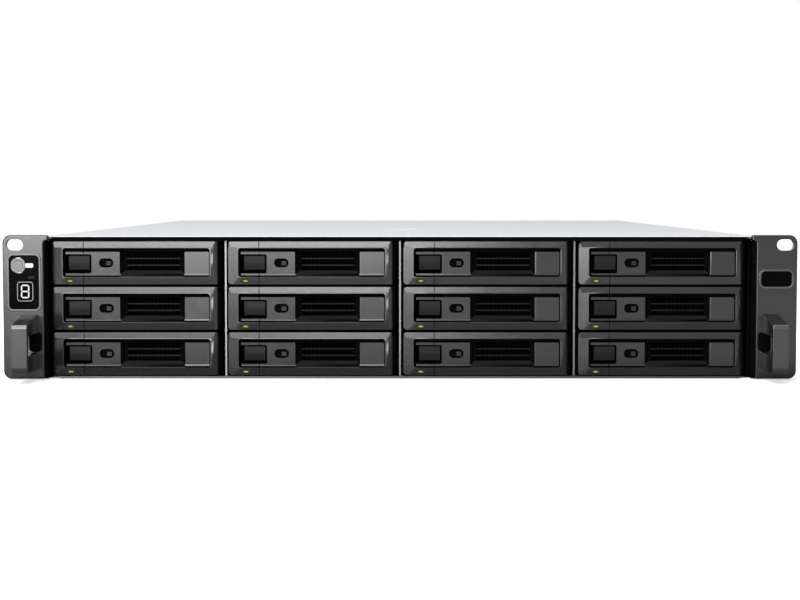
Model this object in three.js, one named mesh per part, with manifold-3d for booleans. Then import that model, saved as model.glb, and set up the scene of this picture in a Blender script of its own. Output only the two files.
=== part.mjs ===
// A two-unit rack enclosure for twelve drives on pull-out trays, at its real size in millimetres.
// +X is to the right seen from the front, +Y runs towards the back and +Z is up. Depths are given
// behind the front face of the rack ears, and the finished group is shifted so that its origin is
// the centre of the footprint.
import * as THREE from "three";
import { mergeVertices } from "three/addons/utils/BufferGeometryUtils.js";
import Module from "manifold-3d";

const wasm = await Module();
wasm.setup();

// Bays
const COLUMNS = 4;
const ROWS = 3;
const ROW_GAP = 1.35;
const FIRST_ROW = 2;
const TRAY_SETBACK = 5.5;

// Sheet metal and the gap between pieces that stand against each other
const SHEET = 1.2;
const FLOOR_SHEET = 1;
const CAGE_SHEET = 0.8;
const DIVIDER_SHEET = 1;
const GAP = 0.3;
const CAGE_SIDE_ROOM = 0.25;

// Reach of the whole body
const HANDLE_REACH = 32;
const CHASSIS_REAR = 680;
const SUPPLY_HANDLE_REACH = 12;

// Tray bezel, measured from its lower left corner
const BEZEL_WIDTH = 102.7;
const BEZEL_HEIGHT = 26.4;
const BEZEL_CORNER = 2;
const FRAME_LEFT = 5.25;
const FRAME_RIGHT = 7;
const FRAME_TOP = 4.3;
const FRAME_BOTTOM = 4.8;
const RIM_LAND = 0.5;
const BEVEL_LEFT = 1.6;
const BEVEL_TOP = 1.2;
const BEVEL_BOTTOM = 1.8;
const END_ROUND = 4.6;
const RECESS_DEPTH = 3.6;
const RECESS_CORNER = 1.6;
const PLATE_DEPTH = 1.8;
const PLATE_LOW = 6;
const PLATE_HIGH = 20.2;
const LOCK_PLATE_END = 40.5;
const PAD_START = 80.3;
const PAD_MARGIN = 0.6;
const SPLIT = 18.2;
const SPLIT_GAP = 0.4;

// Release button of a tray and the hollow round it
const BUTTON_WIDTH = 12.6;
const BUTTON_HEIGHT = 8.4;
const BUTTON_LEFT = 9.3;
const BUTTON_LOW = 8.4;
const BUTTON_FACE = 1.8;
const BUTTON_THICKNESS = 3.6;
const BUTTON_STEM = 5;
const BUTTON_STEM_PAST = 1.2;
const HOLLOW_MARGIN = 1.1;
const HOLLOW_LEFT_MARGIN = 2.2;

// Lock slot, grille and status lamp of a tray
const LOCK_WIDTH = 8.8;
const LOCK_HEIGHT = 5.4;
const LOCK_LEFT = 27.6;
const LOCK_LOW = 10.2;
const LOCK_ROUNDING = 0.4;
const LOCK_POCKET = 1.6;
const GRILLE_LEFT = 44.8;
const GRILLE_RIGHT = 77.1;
const GRILLE_LOW = 8;
const GRILLE_HIGH = 20;
const GRILLE_SLOTS = 3;
const GRILLE_BAR = 0.9;
const SCOOP_DEPTH = 5.2;
const LAMP_WIDTH = 4;
const LAMP_HEIGHT = 1.6;
const LAMP_LEFT = 9.3;
const LAMP_LOW = 1.3;
const LAMP_POCKET = 1.4;

// Lever hinge, tray walls and drive
const LEVER_DEPTH = 8;
const TRAY_WALL_FRONT = 10.5;
const TRAY_WALL = 1.5;
const TRAY_RAIL = 1.1;
const TRAY_RAIL_HEIGHT = 24;
const RAIL_PROUD = 0.9;
const RAIL_ROOM = 0.7;
const TRAY_TAIL = 3;
const HINGE_FROM_RIGHT = 3.4;
const HINGE_DEPTH = 4.6;
const HINGE_TAB = 1.2;
const HINGE_TAB_FROM_END = 1;
const HINGE_TAB_RADIUS = 1.5;
const HINGE_PIN_RADIUS = 0.9;
const HINGE_PIN_LENGTH = 1.8;
const HINGE_CLEARANCE = 0.35;
const DRIVE_WIDTH = 101.6;
const DRIVE_HEIGHT = 26.1;
const DRIVE_LENGTH = 147;
const DRIVE_RISE = 0.15;
const DRIVE_ROOM = 6.5;
const DRIVE_SIDE_ROOM = 0.35;
const CLIP_LENGTH = 110;
const CLIP_HEIGHT = 9;
const CLIP_LOW = 7;
const CLIP_BITE = 0.3;

// Drive cage
const CAGE_FRONT = 13;
const CAGE_TOP_FRONT = 8;
const CAGE_TOP_ROOM = 1.1;
const LEDGE_WIDTH = 3;
const LEDGE_THICKNESS = 0.95;
const NOTCH_WIDTH = 64;
const NOTCH_BACK = 30;

// Covers and the lip under the trays
const COVER_FRONT = 6;
const SEAM_PAST_CAGE = 20.7;
const COVER_SHEET = 1.2;
const COVER_LIP = 9;
const LIP_INSET = 6.05;
const LIP_FRONT = 6;
const LIP_LOW = 0.4;
const LIP_HIGH = 1.6;
const LIP_ROOT_INSET = 0.2;

// Backplane
const BOARD = 1.6;
const BACKPLANE_MARGIN = 3;
const CONNECTOR_WIDTH = 42;
const CONNECTOR_HEIGHT = 6;
const CONNECTOR_DEPTH = 8;
const CONNECTOR_RISE = 3;
const VENT_WIDTH = 84;
const VENT_HEIGHT = 12;
const VENT_RISE = 11.5;

// Fans
const FAN_COUNT = 3;
const FAN_PITCH = 132;
const FAN_SIZE = 80;
const FAN_RIM = 2;
const FAN_HEAD_ROOM = 2;
const FAN_DEPTH = 38;
const FAN_FROM_BACKPLANE = 32.8;
const FAN_SHEET = 1.2;
const FAN_WALL_INSET = 9.05;
const FAN_WALL_TOP_ROOM = 2;
const FAN_SEAT = 1;
const FAN_SEAT_DEPTH = 46;
const STATOR_DEPTH = 3;
const STRUT_WIDTH = 4;
const SHAFT_RADIUS = 2.2;
const SHAFT_REACH = 14;
const FAN_HUB = 17;
const ROTOR_INSET = 4;
const ROTOR_LENGTH = 27;
const FAN_BLADES = 7;
const BLADE_CHORD = 24;
const BLADE_THICKNESS = 1.6;
const BLADE_TILT = 0.62;
const BLADE_TIP_GAP = 1.3;
const BLADE_ROOT = 0.85;

// Power supplies
const SUPPLY_HEIGHT = 39;
const SUPPLY_LENGTH = 188;
const SUPPLY_SIDE_ROOM = 3.5;
const SUPPLY_GAP = 0.5;
const SUPPLY_SHELF = 1.2;
const SUPPLY_DOOR_GAP = 0.3;
const INLET_WIDTH = 24.5;
const INLET_HEIGHT = 16.5;
const INLET_DEPTH = 15;
const INLET_FROM_SIDE = 1.8;
const GRIP_FROM_CATCH = 1.8;
const SUPPLY_FAN_BORE = 15.5;
const SUPPLY_FAN_FROM_SIDE = 17.5;
const SUPPLY_FAN_DEPTH = 22;
const SUPPLY_FAN_HUB = 7;
const SUPPLY_FAN_BLADES = 5;
const SUPPLY_FAN_LENGTH = 13;
const SUPPLY_FAN_INSET = 3;
const SUPPLY_SHAFT = 1.4;
const SUPPLY_SHAFT_REACH = 12;
const SUPPLY_BLADE_CHORD = 11;
const SUPPLY_BLADE_THICKNESS = 1.2;
const SUPPLY_BLADE_TIP_GAP = 1;
const GRIP_FROM_INLET = 0.4;
const GRIP_WIDTH = 4.6;
const GRIP_HEIGHT = 32;
const GRIP_BAR = 3;
const CATCH_FROM_FAN = 2;
const CATCH_WIDTH = 2.4;
const CATCH_HEIGHT = 14;
const CATCH_REACH = 9;
const CATCH_ROOT = 8;
const CATCH_TRAVEL = 3;
const CATCH_SIDE_GAP = 0.3;

// Expander board, its ports and the vents of the rear wall
const EXPANDER_FROM_SIDE = 18.05;
const EXPANDER_WIDTH = 168;
const EXPANDER_LENGTH = 150;
const EXPANDER_HEIGHT = 8;
const STANDOFF_RADIUS = 3;
const STANDOFF_INSET = 6;
const PORT_COUNT = 2;
const PORT_WIDTH = 20;
const PORT_HEIGHT = 12.5;
const PORT_WALL = 1.4;
const PORT_DEPTH = 26;
const PORT_PITCH = 34;
const PORT_FROM_EDGE = 46;
const PORT_CLEARANCE = 0.4;
const SINK_SIZE = 44;
const SINK_HEIGHT = 16;
const SINK_BASE = 3;
const SINK_FINS = 7;
const SINK_FIN = 1.6;
const REAR_SLOT_WIDTH = 4;
const REAR_SLOT_PITCH = 8;
const REAR_SLOT_OVER_PORTS = 8.1;
const REAR_SLOT_FROM_TOP = 5.8;
const REAR_SLOT_MARGIN = 9;

// Rack ears
const EAR_WIDTH = 25.75;
const EAR_THICKNESS = 5;
const EAR_CORNER = 5;
const EAR_BOTTOM = 0.5;
const EAR_RISE = 0.7;
const EAR_BITE = 0.4;
const CHEEK_SETBACK = 0.8;
const CHEEK_LOW = 2.4;
const BRACKET_SHEET = 1.5;
const BRACKET_LENGTH = 40;
const BRACKET_LOW = 8;
const BRACKET_FROM_TOP = 12;
const SLOT_WIDTH = 10.4;
const SLOT_HEIGHT = 6.8;
const SLOT_FLAT = 0.136;
const SLOT_FROM_EDGE = 2.2;
const SLOT_FROM_TOP = 2.6;

// Display window, its power button and the name plate
const WINDOW_WIDTH = 18;
const WINDOW_HEIGHT = 32.6;
const WINDOW_FROM_TOP = 12.4;
const WINDOW_FROM_EDGE = 4.1;
const WINDOW_CORNER = 2.6;
const WINDOW_SHEET = 1;
const WINDOW_FACE = 0.1;
const RING_WIDTH = 1;
const RING_RISE = 0.5;
const POWER_RADIUS = 4.5;
const POWER_FROM_TOP = 6;
const POWER_FROM_EDGE = 5.5;
const POWER_PROUD = 0.8;
const POWER_LENGTH = 3;
const PLATE_WIDTH = 18.6;
const PLATE_HEIGHT = 9.3;
const PLATE_FROM_EDGE = 3.5;
const PLATE_FROM_TOP = 22;
const PLATE_CORNER = 2.6;
const PLATE_SINK = 0.8;

// Pull handles and the rack releases behind them
const HANDLE_WIDTH = 9.5;
const HANDLE_FROM_EDGE = 11.6;
const HANDLE_LOW = 6.5;
const HANDLE_UNDER_WINDOW = 3;
const HANDLE_TOP_FALL = 1.4;
const HANDLE_BAR = 3.4;
const HANDLE_NOSE = 3.6;
const HANDLE_CHIN = 3.8;
const HANDLE_CHIN_SET = 2.6;
const FINGER_LOW = 16.7;
const FINGER_HIGH = 28.4;
const FINGER_CORNER = 2.4;
const RELEASE_WIDTH = 6.2;
const RELEASE_HEIGHT = 10.8;
const RELEASE_FROM_SIDE = 3.15;
const RELEASE_OVER_GAP = 0.8;
const RELEASE_CORNER = 2;
const RELEASE_CLEARANCE = 0.4;
const RELEASE_FACE = 0.6;
const RELEASE_LENGTH = 14;

// The grid that corners lie on
const STEPS_PER_MM = 4096;

// Places that follow from the sizes above. A bay takes what is widest or tallest in it, and the
// covers lie over whatever stands highest in the case.
const RAIL_SPREAD = Math.max(DRIVE_WIDTH + 2 * (TRAY_RAIL + DRIVE_SIDE_ROOM), BEZEL_WIDTH + 2 * RAIL_PROUD);
const BAY_PITCH = RAIL_SPREAD + 2 * RAIL_ROOM + DIVIDER_SHEET;
const TRAY_HEIGHT = Math.max(BEZEL_HEIGHT, DRIVE_RISE + DRIVE_HEIGHT, TRAY_RAIL_HEIGHT);
const ROW_PITCH = TRAY_HEIGHT + ROW_GAP;
const HALF_INNER = (COLUMNS * BAY_PITCH) / 2 + CAGE_SIDE_ROOM;
const HALF_CHASSIS = HALF_INNER + SHEET;
const HALF_SPAN = HALF_CHASSIS + EAR_WIDTH;
const REAR_REACH = CHASSIS_REAR + SUPPLY_HANDLE_REACH;
const rowBase = (row) => FIRST_ROW + row * ROW_PITCH;
const columnCentre = (column) => (column - (COLUMNS - 1) / 2) * BAY_PITCH;
const CAGE_UNDER = rowBase(ROWS - 1) + TRAY_HEIGHT + CAGE_TOP_ROOM;
const CAGE_TOP = CAGE_UNDER + CAGE_SHEET;
const FAN_CENTRE = FLOOR_SHEET + GAP + FAN_SEAT + FAN_SIZE / 2;
const SUPPLY_LOW = FLOOR_SHEET + SUPPLY_GAP;
const SUPPLY_STEP = SUPPLY_HEIGHT + 2 * SUPPLY_GAP + SUPPLY_SHELF;
const COVER_UNDER = Math.max(
  CAGE_TOP + GAP,
  FAN_CENTRE + FAN_SIZE / 2 + FAN_HEAD_ROOM,
  SUPPLY_LOW + SUPPLY_STEP + SUPPLY_HEIGHT + SUPPLY_GAP,
);
const COVER_TOP = COVER_UNDER + COVER_SHEET;
const WALL_TOP = COVER_UNDER - GAP;
const EAR_TOP = COVER_TOP + EAR_RISE;
const DRIVE_FRONT = TRAY_WALL_FRONT + TRAY_WALL + DRIVE_ROOM;
const DRIVE_BACK = DRIVE_FRONT + DRIVE_LENGTH;
const BACKPLANE_FRONT = TRAY_SETBACK + DRIVE_BACK + 2 * GAP + CONNECTOR_DEPTH;
const CAGE_BACK = BACKPLANE_FRONT - GAP;
const COVER_SEAM = CAGE_BACK + SEAM_PAST_CAGE;
const FAN_FRONT = BACKPLANE_FRONT + BOARD + FAN_FROM_BACKPLANE;
const FAN_BORE = FAN_SIZE / 2 - FAN_RIM;
const SUPPLY_FRONT = CHASSIS_REAR - SUPPLY_LENGTH;
const SUPPLY_RIGHT = HALF_INNER - SUPPLY_SIDE_ROOM;
// A supply's rear face holds its fan, catch, grip and inlet side by side.
const CATCH_FROM_SIDE = SUPPLY_FAN_FROM_SIDE + SUPPLY_FAN_BORE + CATCH_FROM_FAN;
const GRIP_LEFT = CATCH_FROM_SIDE + CATCH_WIDTH + CATCH_TRAVEL + GRIP_FROM_CATCH;
const INLET_LEFT = GRIP_LEFT + GRIP_WIDTH + GRIP_FROM_INLET;
const SUPPLY_WIDTH = INLET_LEFT + INLET_WIDTH + INLET_FROM_SIDE;
const SUPPLY_LEFT = SUPPLY_RIGHT - SUPPLY_WIDTH;
const EXPANDER_LEFT = -HALF_INNER + EXPANDER_FROM_SIDE;
const EXPANDER_BACK = CHASSIS_REAR - SHEET - GAP;
const EXPANDER_TOP = FLOOR_SHEET + EXPANDER_HEIGHT + BOARD;
const REAR_SLOT_LOW = EXPANDER_TOP + PORT_HEIGHT + 2 * PORT_WALL + REAR_SLOT_OVER_PORTS;
const REAR_SLOT_HIGH = WALL_TOP - REAR_SLOT_FROM_TOP;
const WINDOW_LEFT = -HALF_SPAN + WINDOW_FROM_EDGE;
const WINDOW_LOW = EAR_TOP - WINDOW_FROM_TOP - WINDOW_HEIGHT;
const POWER_X = WINDOW_LEFT + POWER_FROM_EDGE;
const POWER_Z = WINDOW_LOW + WINDOW_HEIGHT - POWER_FROM_TOP;
const HANDLE_TOP = WINDOW_LOW - HANDLE_UNDER_WINDOW;
const HANDLE_TOP_FRONT = HANDLE_TOP - HANDLE_TOP_FALL;
const RELEASE_LOW = FINGER_LOW + RELEASE_OVER_GAP;

// Finishes
const steel = new THREE.MeshStandardMaterial({ color: 0xd5d8db, roughness: 0.42, metalness: 0.9 });
const coverPaint = new THREE.MeshStandardMaterial({ color: 0xdcdfe2, roughness: 0.5, metalness: 0.6 });
const earPlastic = new THREE.MeshStandardMaterial({ color: 0x53575a, roughness: 0.5, metalness: 0 });
const handleCast = new THREE.MeshStandardMaterial({ color: 0x6d7070, roughness: 0.4, metalness: 0.4 });
const trayPlastic = new THREE.MeshStandardMaterial({ color: 0x3e4245, roughness: 0.45, metalness: 0 });
const buttonPlastic = new THREE.MeshStandardMaterial({ color: 0x34383a, roughness: 0.6, metalness: 0 });
const blackPlastic = new THREE.MeshStandardMaterial({ color: 0x101214, roughness: 0.5, metalness: 0 });
const gloss = new THREE.MeshStandardMaterial({ color: 0x050606, roughness: 0.08, metalness: 0 });
const silver = new THREE.MeshStandardMaterial({ color: 0xc9c9cb, roughness: 0.3, metalness: 0.7 });
const boardGreen = new THREE.MeshStandardMaterial({ color: 0x1c5a36, roughness: 0.45, metalness: 0 });

// Turns a closed three.js geometry into a solid that can be joined and cut. Its corners go to
// places that 32-bit numbers hold exactly, so that faces meant to be level are level.
function solidOf(geometry) {
  const bare = geometry.index ? geometry.toNonIndexed() : geometry;
  bare.deleteAttribute("normal");
  bare.deleteAttribute("uv");
  const places = bare.attributes.position.array;
  places.forEach((value, index) => {
    places[index] = Math.round(value * STEPS_PER_MM) / STEPS_PER_MM;
  });
  const merged = mergeVertices(bare, 1e-4);
  return new wasm.Manifold(
    new wasm.Mesh({
      numProp: 3,
      vertProperties: merged.attributes.position.array,
      triVerts: new Uint32Array(merged.index.array),
    }),
  );
}

// Turns a solid back into a three.js geometry.
function geometryOf(solid) {
  const mesh = solid.getMesh();
  const geometry = new THREE.BufferGeometry();
  geometry.setAttribute("position", new THREE.BufferAttribute(mesh.vertProperties, mesh.numProp));
  geometry.setIndex(new THREE.BufferAttribute(mesh.triVerts, 1));
  geometry.computeVertexNormals();
  return geometry;
}

function join(...solids) {
  return solids.flat().reduce((whole, solid) => whole.add(solid));
}

function cut(whole, ...solids) {
  return solids.flat().reduce((rest, solid) => rest.subtract(solid), whole);
}

// A list of what a function makes for 0, 1, 2 and so on.
function times(count, make) {
  return Array.from({ length: count }, (_, index) => make(index));
}

// A block between two places on each axis.
function block([left, right], [front, back], [low, high]) {
  const box = new THREE.BoxGeometry(right - left, back - front, high - low);
  return solidOf(box.translate((left + right) / 2, (front + back) / 2, (low + high) / 2));
}

// Both ends of a stretch of X on the left (-1) or right (1) side of the body.
function across(side, inner, outer) {
  return side > 0 ? [inner, outer] : [-outer, -inner];
}

// An outline with rounded corners.
function roundedOutline([left, right], [low, high], radius) {
  const shape = new THREE.Shape();
  shape.absarc(right - radius, low + radius, radius, -Math.PI / 2, 0);
  shape.absarc(right - radius, high - radius, radius, 0, Math.PI / 2);
  shape.absarc(left + radius, high - radius, radius, Math.PI / 2, Math.PI);
  shape.absarc(left + radius, low + radius, radius, Math.PI, 1.5 * Math.PI);
  return shape;
}

// An outline in X and Z, taken from front to back along Y.
function slab(shape, [front, back], curveSegments = 3) {
  const geometry = new THREE.ExtrudeGeometry(shape, { depth: back - front, bevelEnabled: false, curveSegments });
  return solidOf(geometry.rotateX(Math.PI / 2).translate(0, back, 0));
}

// An outline in Y and Z, taken from left to right along X.
function section(shape, [left, right], curveSegments = 3) {
  const geometry = new THREE.ExtrudeGeometry(shape, { depth: right - left, bevelEnabled: false, curveSegments });
  const toSide = new THREE.Matrix4().makeBasis(
    new THREE.Vector3(0, 1, 0),
    new THREE.Vector3(0, 0, 1),
    new THREE.Vector3(1, 0, 0),
  );
  return solidOf(geometry.applyMatrix4(toSide).translate(left, 0, 0));
}

// An outline in X and Y, taken upwards along Z.
function plan(shape, [low, high], curveSegments = 4) {
  const geometry = new THREE.ExtrudeGeometry(shape, { depth: high - low, bevelEnabled: false, curveSegments });
  return solidOf(geometry.translate(0, 0, low));
}

// A round bar along Y, and one along Z.
function barY(x, z, radius, [front, back], sides = 16) {
  const geometry = new THREE.CylinderGeometry(radius, radius, back - front, sides);
  return solidOf(geometry.translate(x, (front + back) / 2, z));
}

function barZ(x, y, radius, [low, high], sides = 10) {
  const geometry = new THREE.CylinderGeometry(radius, radius, high - low, sides);
  return solidOf(geometry.rotateX(Math.PI / 2).translate(x, y, (low + high) / 2));
}

const root = new THREE.Group();

function addPiece(name, solid, material, place = [0, 0, 0]) {
  const geometry = solid.isBufferGeometry ? solid : geometryOf(solid);
  const mesh = new THREE.Mesh(geometry, material);
  mesh.name = name;
  mesh.position.set(...place);
  root.add(mesh);
}

// Tray fronts
const HINGE_X = BEZEL_WIDTH - HINGE_FROM_RIGHT;
const RECESS = [FRAME_LEFT, BEZEL_WIDTH - FRAME_RIGHT];
const RECESS_HEIGHT = [FRAME_BOTTOM, BEZEL_HEIGHT - FRAME_TOP];
const STEM_X = [BUTTON_LEFT + GAP, BUTTON_LEFT + GAP + BUTTON_STEM];
const STEM_Z = [
  BUTTON_LOW + (BUTTON_HEIGHT - BUTTON_STEM) / 2,
  BUTTON_LOW + (BUTTON_HEIGHT + BUTTON_STEM) / 2,
];

// The bezel before anything is sunk into it: bevelled on three sides and rounded at the hinge end.
function bezelBlank(depth) {
  const front = slab(roundedOutline([0, BEZEL_WIDTH], [0, BEZEL_HEIGHT], BEZEL_CORNER), [0, depth], 2);
  const side = new THREE.Shape();
  side.moveTo(BEVEL_BOTTOM, 0);
  side.lineTo(0, FRAME_BOTTOM - RIM_LAND);
  side.lineTo(0, BEZEL_HEIGHT - FRAME_TOP + RIM_LAND);
  side.lineTo(BEVEL_TOP, BEZEL_HEIGHT);
  side.lineTo(depth, BEZEL_HEIGHT);
  side.lineTo(depth, 0);
  const above = new THREE.Shape();
  above.moveTo(0, BEVEL_LEFT);
  above.lineTo(FRAME_LEFT - RIM_LAND, 0);
  above.lineTo(BEZEL_WIDTH - FRAME_RIGHT + RIM_LAND, 0);
  above.quadraticCurveTo(BEZEL_WIDTH, 0, BEZEL_WIDTH, END_ROUND);
  above.lineTo(BEZEL_WIDTH, depth);
  above.lineTo(0, depth);
  return front.intersect(section(side, [0, BEZEL_WIDTH])).intersect(plan(above, [0, BEZEL_HEIGHT], 3));
}

// The bezel with its recess, plates, scoop, lock slot and the hollow for the button.
function bezel(depth) {
  const recess = slab(roundedOutline(RECESS, RECESS_HEIGHT, RECESS_CORNER), [-1, RECESS_DEPTH], 2);
  const plateDepths = [PLATE_DEPTH, RECESS_DEPTH + GAP];
  const plate = block([RECESS[0] - GAP, LOCK_PLATE_END], plateDepths, [PLATE_LOW, PLATE_HIGH]);
  const pad = block([PAD_START, RECESS[1] - PAD_MARGIN], plateDepths, [PLATE_LOW, PLATE_HIGH]);
  const scoop = block([LOCK_PLATE_END, PAD_START], [-1, SCOOP_DEPTH], [PLATE_LOW, GRILLE_HIGH]);
  const lock = slab(
    roundedOutline([LOCK_LEFT, LOCK_LEFT + LOCK_WIDTH], [LOCK_LOW, LOCK_LOW + LOCK_HEIGHT], LOCK_HEIGHT * LOCK_ROUNDING),
    [-1, PLATE_DEPTH + LOCK_POCKET],
    2,
  );
  const hollow = block(
    [BUTTON_LEFT - HOLLOW_LEFT_MARGIN, BUTTON_LEFT + BUTTON_WIDTH + HOLLOW_MARGIN],
    [-1, depth + 1],
    [BUTTON_LOW - HOLLOW_MARGIN, BUTTON_LOW + BUTTON_HEIGHT + HOLLOW_MARGIN],
  );
  return cut(join(cut(bezelBlank(depth), recess), plate, pad), scoop, lock, hollow);
}

function grilleSlots() {
  const rise = (GRILLE_HIGH - GRILLE_LOW + GRILLE_BAR) / GRILLE_SLOTS;
  return times(GRILLE_SLOTS, (index) => {
    const low = GRILLE_LOW + index * rise;
    return block([GRILLE_LEFT, GRILLE_RIGHT], [-1, LEVER_DEPTH + 1], [low, low + rise - GRILLE_BAR]);
  });
}

// Low and high of each hinge tab, at the bottom and top of the hinge end.
const HINGE_TABS = [
  [HINGE_TAB_FROM_END, HINGE_TAB_FROM_END + HINGE_TAB],
  [BEZEL_HEIGHT - HINGE_TAB_FROM_END - HINGE_TAB, BEZEL_HEIGHT - HINGE_TAB_FROM_END],
];
const HINGE_PINS = [
  [HINGE_TABS[0][1] - GAP, HINGE_TABS[0][1] + HINGE_PIN_LENGTH],
  [HINGE_TABS[1][0] - HINGE_PIN_LENGTH, HINGE_TABS[1][0] + GAP],
];

function trayLever() {
  const swinging = block([SPLIT + SPLIT_GAP / 2, BEZEL_WIDTH + 1], [-1, LEVER_DEPTH + 1], [-1, BEZEL_HEIGHT + 1]);
  const reach = HINGE_TAB_RADIUS + HINGE_CLEARANCE;
  const tabRooms = HINGE_TABS.map(([low, high]) =>
    block(
      [HINGE_X - reach, BEZEL_WIDTH + 1],
      [HINGE_DEPTH - reach, LEVER_DEPTH + 1],
      [low - HINGE_CLEARANCE, high + HINGE_CLEARANCE],
    ),
  );
  const pinRooms = HINGE_PINS.map(([low, high]) =>
    barZ(HINGE_X, HINGE_DEPTH, HINGE_PIN_RADIUS + HINGE_CLEARANCE, [low - HINGE_CLEARANCE, high + HINGE_CLEARANCE], 6),
  );
  return cut(bezel(LEVER_DEPTH).intersect(swinging), grilleSlots(), tabRooms, pinRooms);
}

function trayButton() {
  const right = BUTTON_LEFT + BUTTON_WIDTH;
  const cap = block([BUTTON_LEFT, right], [BUTTON_FACE, BUTTON_FACE + BUTTON_THICKNESS], [
    BUTTON_LOW,
    BUTTON_LOW + BUTTON_HEIGHT,
  ]);
  const stem = block(
    STEM_X,
    [BUTTON_FACE + BUTTON_THICKNESS - GAP, TRAY_WALL_FRONT + TRAY_WALL + BUTTON_STEM_PAST],
    STEM_Z,
  );
  return join(cap, stem);
}

// The carrier: the fixed end of the bezel, the wall behind the lever, two rails and the drive.
function tray() {
  const fixed = block([-1, SPLIT - SPLIT_GAP / 2], [-1, TRAY_WALL_FRONT + GAP], [-1, BEZEL_HEIGHT + 1]);
  const lamp = block([LAMP_LEFT, LAMP_LEFT + LAMP_WIDTH], [-1, BEVEL_BOTTOM + LAMP_POCKET], [
    LAMP_LOW,
    LAMP_LOW + LAMP_HEIGHT,
  ]);
  const fixedEnd = cut(bezel(TRAY_WALL_FRONT + GAP).intersect(fixed), lamp);
  const middle = BEZEL_WIDTH / 2;
  const outer = [middle - RAIL_SPREAD / 2, middle + RAIL_SPREAD / 2];
  const wallDepths = [TRAY_WALL_FRONT, TRAY_WALL_FRONT + TRAY_WALL];
  const wall = cut(
    block(outer, wallDepths, [0, BEZEL_HEIGHT - GAP]),
    block([GRILLE_LEFT, GRILLE_RIGHT], [0, DRIVE_FRONT], [GRILLE_LOW, GRILLE_HIGH]),
    block([STEM_X[0] - GAP, STEM_X[1] + GAP], [0, DRIVE_FRONT], [STEM_Z[0] - GAP, STEM_Z[1] + GAP]),
  );
  const tabs = HINGE_TABS.map((heights) =>
    join(
      barZ(HINGE_X, HINGE_DEPTH, HINGE_TAB_RADIUS, heights, 8),
      block([HINGE_X - HINGE_TAB_RADIUS, HINGE_X + HINGE_TAB_RADIUS], [HINGE_DEPTH, wallDepths[1]], heights),
    ),
  );
  const pins = HINGE_PINS.map((heights) => barZ(HINGE_X, HINGE_DEPTH, HINGE_PIN_RADIUS, heights, 6));
  const railDepths = [TRAY_WALL_FRONT, DRIVE_BACK - TRAY_TAIL];
  const rails = [
    block([outer[0], outer[0] + TRAY_RAIL], railDepths, [0, TRAY_RAIL_HEIGHT]),
    block([outer[1] - TRAY_RAIL, outer[1]], railDepths, [0, TRAY_RAIL_HEIGHT]),
  ];
  const driveSides = [middle - DRIVE_WIDTH / 2, middle + DRIVE_WIDTH / 2];
  const clipDepths = [(DRIVE_FRONT + DRIVE_BACK - CLIP_LENGTH) / 2, (DRIVE_FRONT + DRIVE_BACK + CLIP_LENGTH) / 2];
  const clips = [
    block([outer[0] + TRAY_RAIL - CLIP_BITE, driveSides[0] + CLIP_BITE], clipDepths, [
      CLIP_LOW,
      CLIP_LOW + CLIP_HEIGHT,
    ]),
    block([driveSides[1] - CLIP_BITE, outer[1] - TRAY_RAIL + CLIP_BITE], clipDepths, [
      CLIP_LOW,
      CLIP_LOW + CLIP_HEIGHT,
    ]),
  ];
  const drive = block(driveSides, [DRIVE_FRONT, DRIVE_BACK], [DRIVE_RISE, DRIVE_RISE + DRIVE_HEIGHT]);
  return join(fixedEnd, wall, tabs, pins, rails, clips, drive);
}

// Trays are numbered along the rows from the top left bay.
function addTrays() {
  const carrier = geometryOf(tray());
  const lever = geometryOf(trayLever());
  const button = geometryOf(trayButton());
  for (let row = ROWS - 1; row >= 0; row--) {
    for (let column = 0; column < COLUMNS; column++) {
      const number = String((ROWS - 1 - row) * COLUMNS + column + 1).padStart(2, "0");
      const place = [columnCentre(column) - BEZEL_WIDTH / 2, TRAY_SETBACK, rowBase(row)];
      addPiece("tray_" + number, carrier, trayPlastic, place);
      addPiece("tray_lever_" + number, lever, trayPlastic, place);
      addPiece("tray_button_" + number, button, buttonPlastic, place);
    }
  }
}

// The cage: a top sheet, three dividers, two side sheets and the ledges that the trays slide on.
function driveCage() {
  const half = HALF_INNER - GAP;
  const low = FLOOR_SHEET + GAP;
  const notches = times(COLUMNS, (column) => {
    const centre = columnCentre(column);
    return block([centre - NOTCH_WIDTH / 2, centre + NOTCH_WIDTH / 2], [0, NOTCH_BACK], [0, CAGE_TOP + 1]);
  });
  const top = cut(block([-half, half], [CAGE_TOP_FRONT, CAGE_BACK], [CAGE_UNDER, CAGE_TOP]), notches);
  const sheetHeights = [low, CAGE_UNDER + GAP];
  const depths = [CAGE_FRONT, CAGE_BACK];
  const uprights = [];
  // Each upright's faces that look into a bay: where the face is, and the way it looks.
  const faces = [
    [-half + CAGE_SHEET, 1],
    [half - CAGE_SHEET, -1],
  ];
  uprights.push(block([-half, -half + CAGE_SHEET], depths, sheetHeights));
  uprights.push(block([half - CAGE_SHEET, half], depths, sheetHeights));
  for (let column = 1; column < COLUMNS; column++) {
    const middle = columnCentre(column) - BAY_PITCH / 2;
    uprights.push(block([middle - DIVIDER_SHEET / 2, middle + DIVIDER_SHEET / 2], depths, sheetHeights));
    faces.push([middle + DIVIDER_SHEET / 2, 1], [middle - DIVIDER_SHEET / 2, -1]);
  }
  const ledges = faces.flatMap(([face, way]) =>
    times(ROWS, (row) => {
      const ledgeTop = rowBase(row) - GAP;
      const ledgeLow = Math.max(ledgeTop - LEDGE_THICKNESS, low);
      const span = [face - way * CAGE_SHEET / 2, face + way * LEDGE_WIDTH].sort((a, b) => a - b);
      return block(span, depths, [ledgeLow, ledgeTop]);
    }),
  );
  return join(top, uprights, ledges);
}

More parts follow.
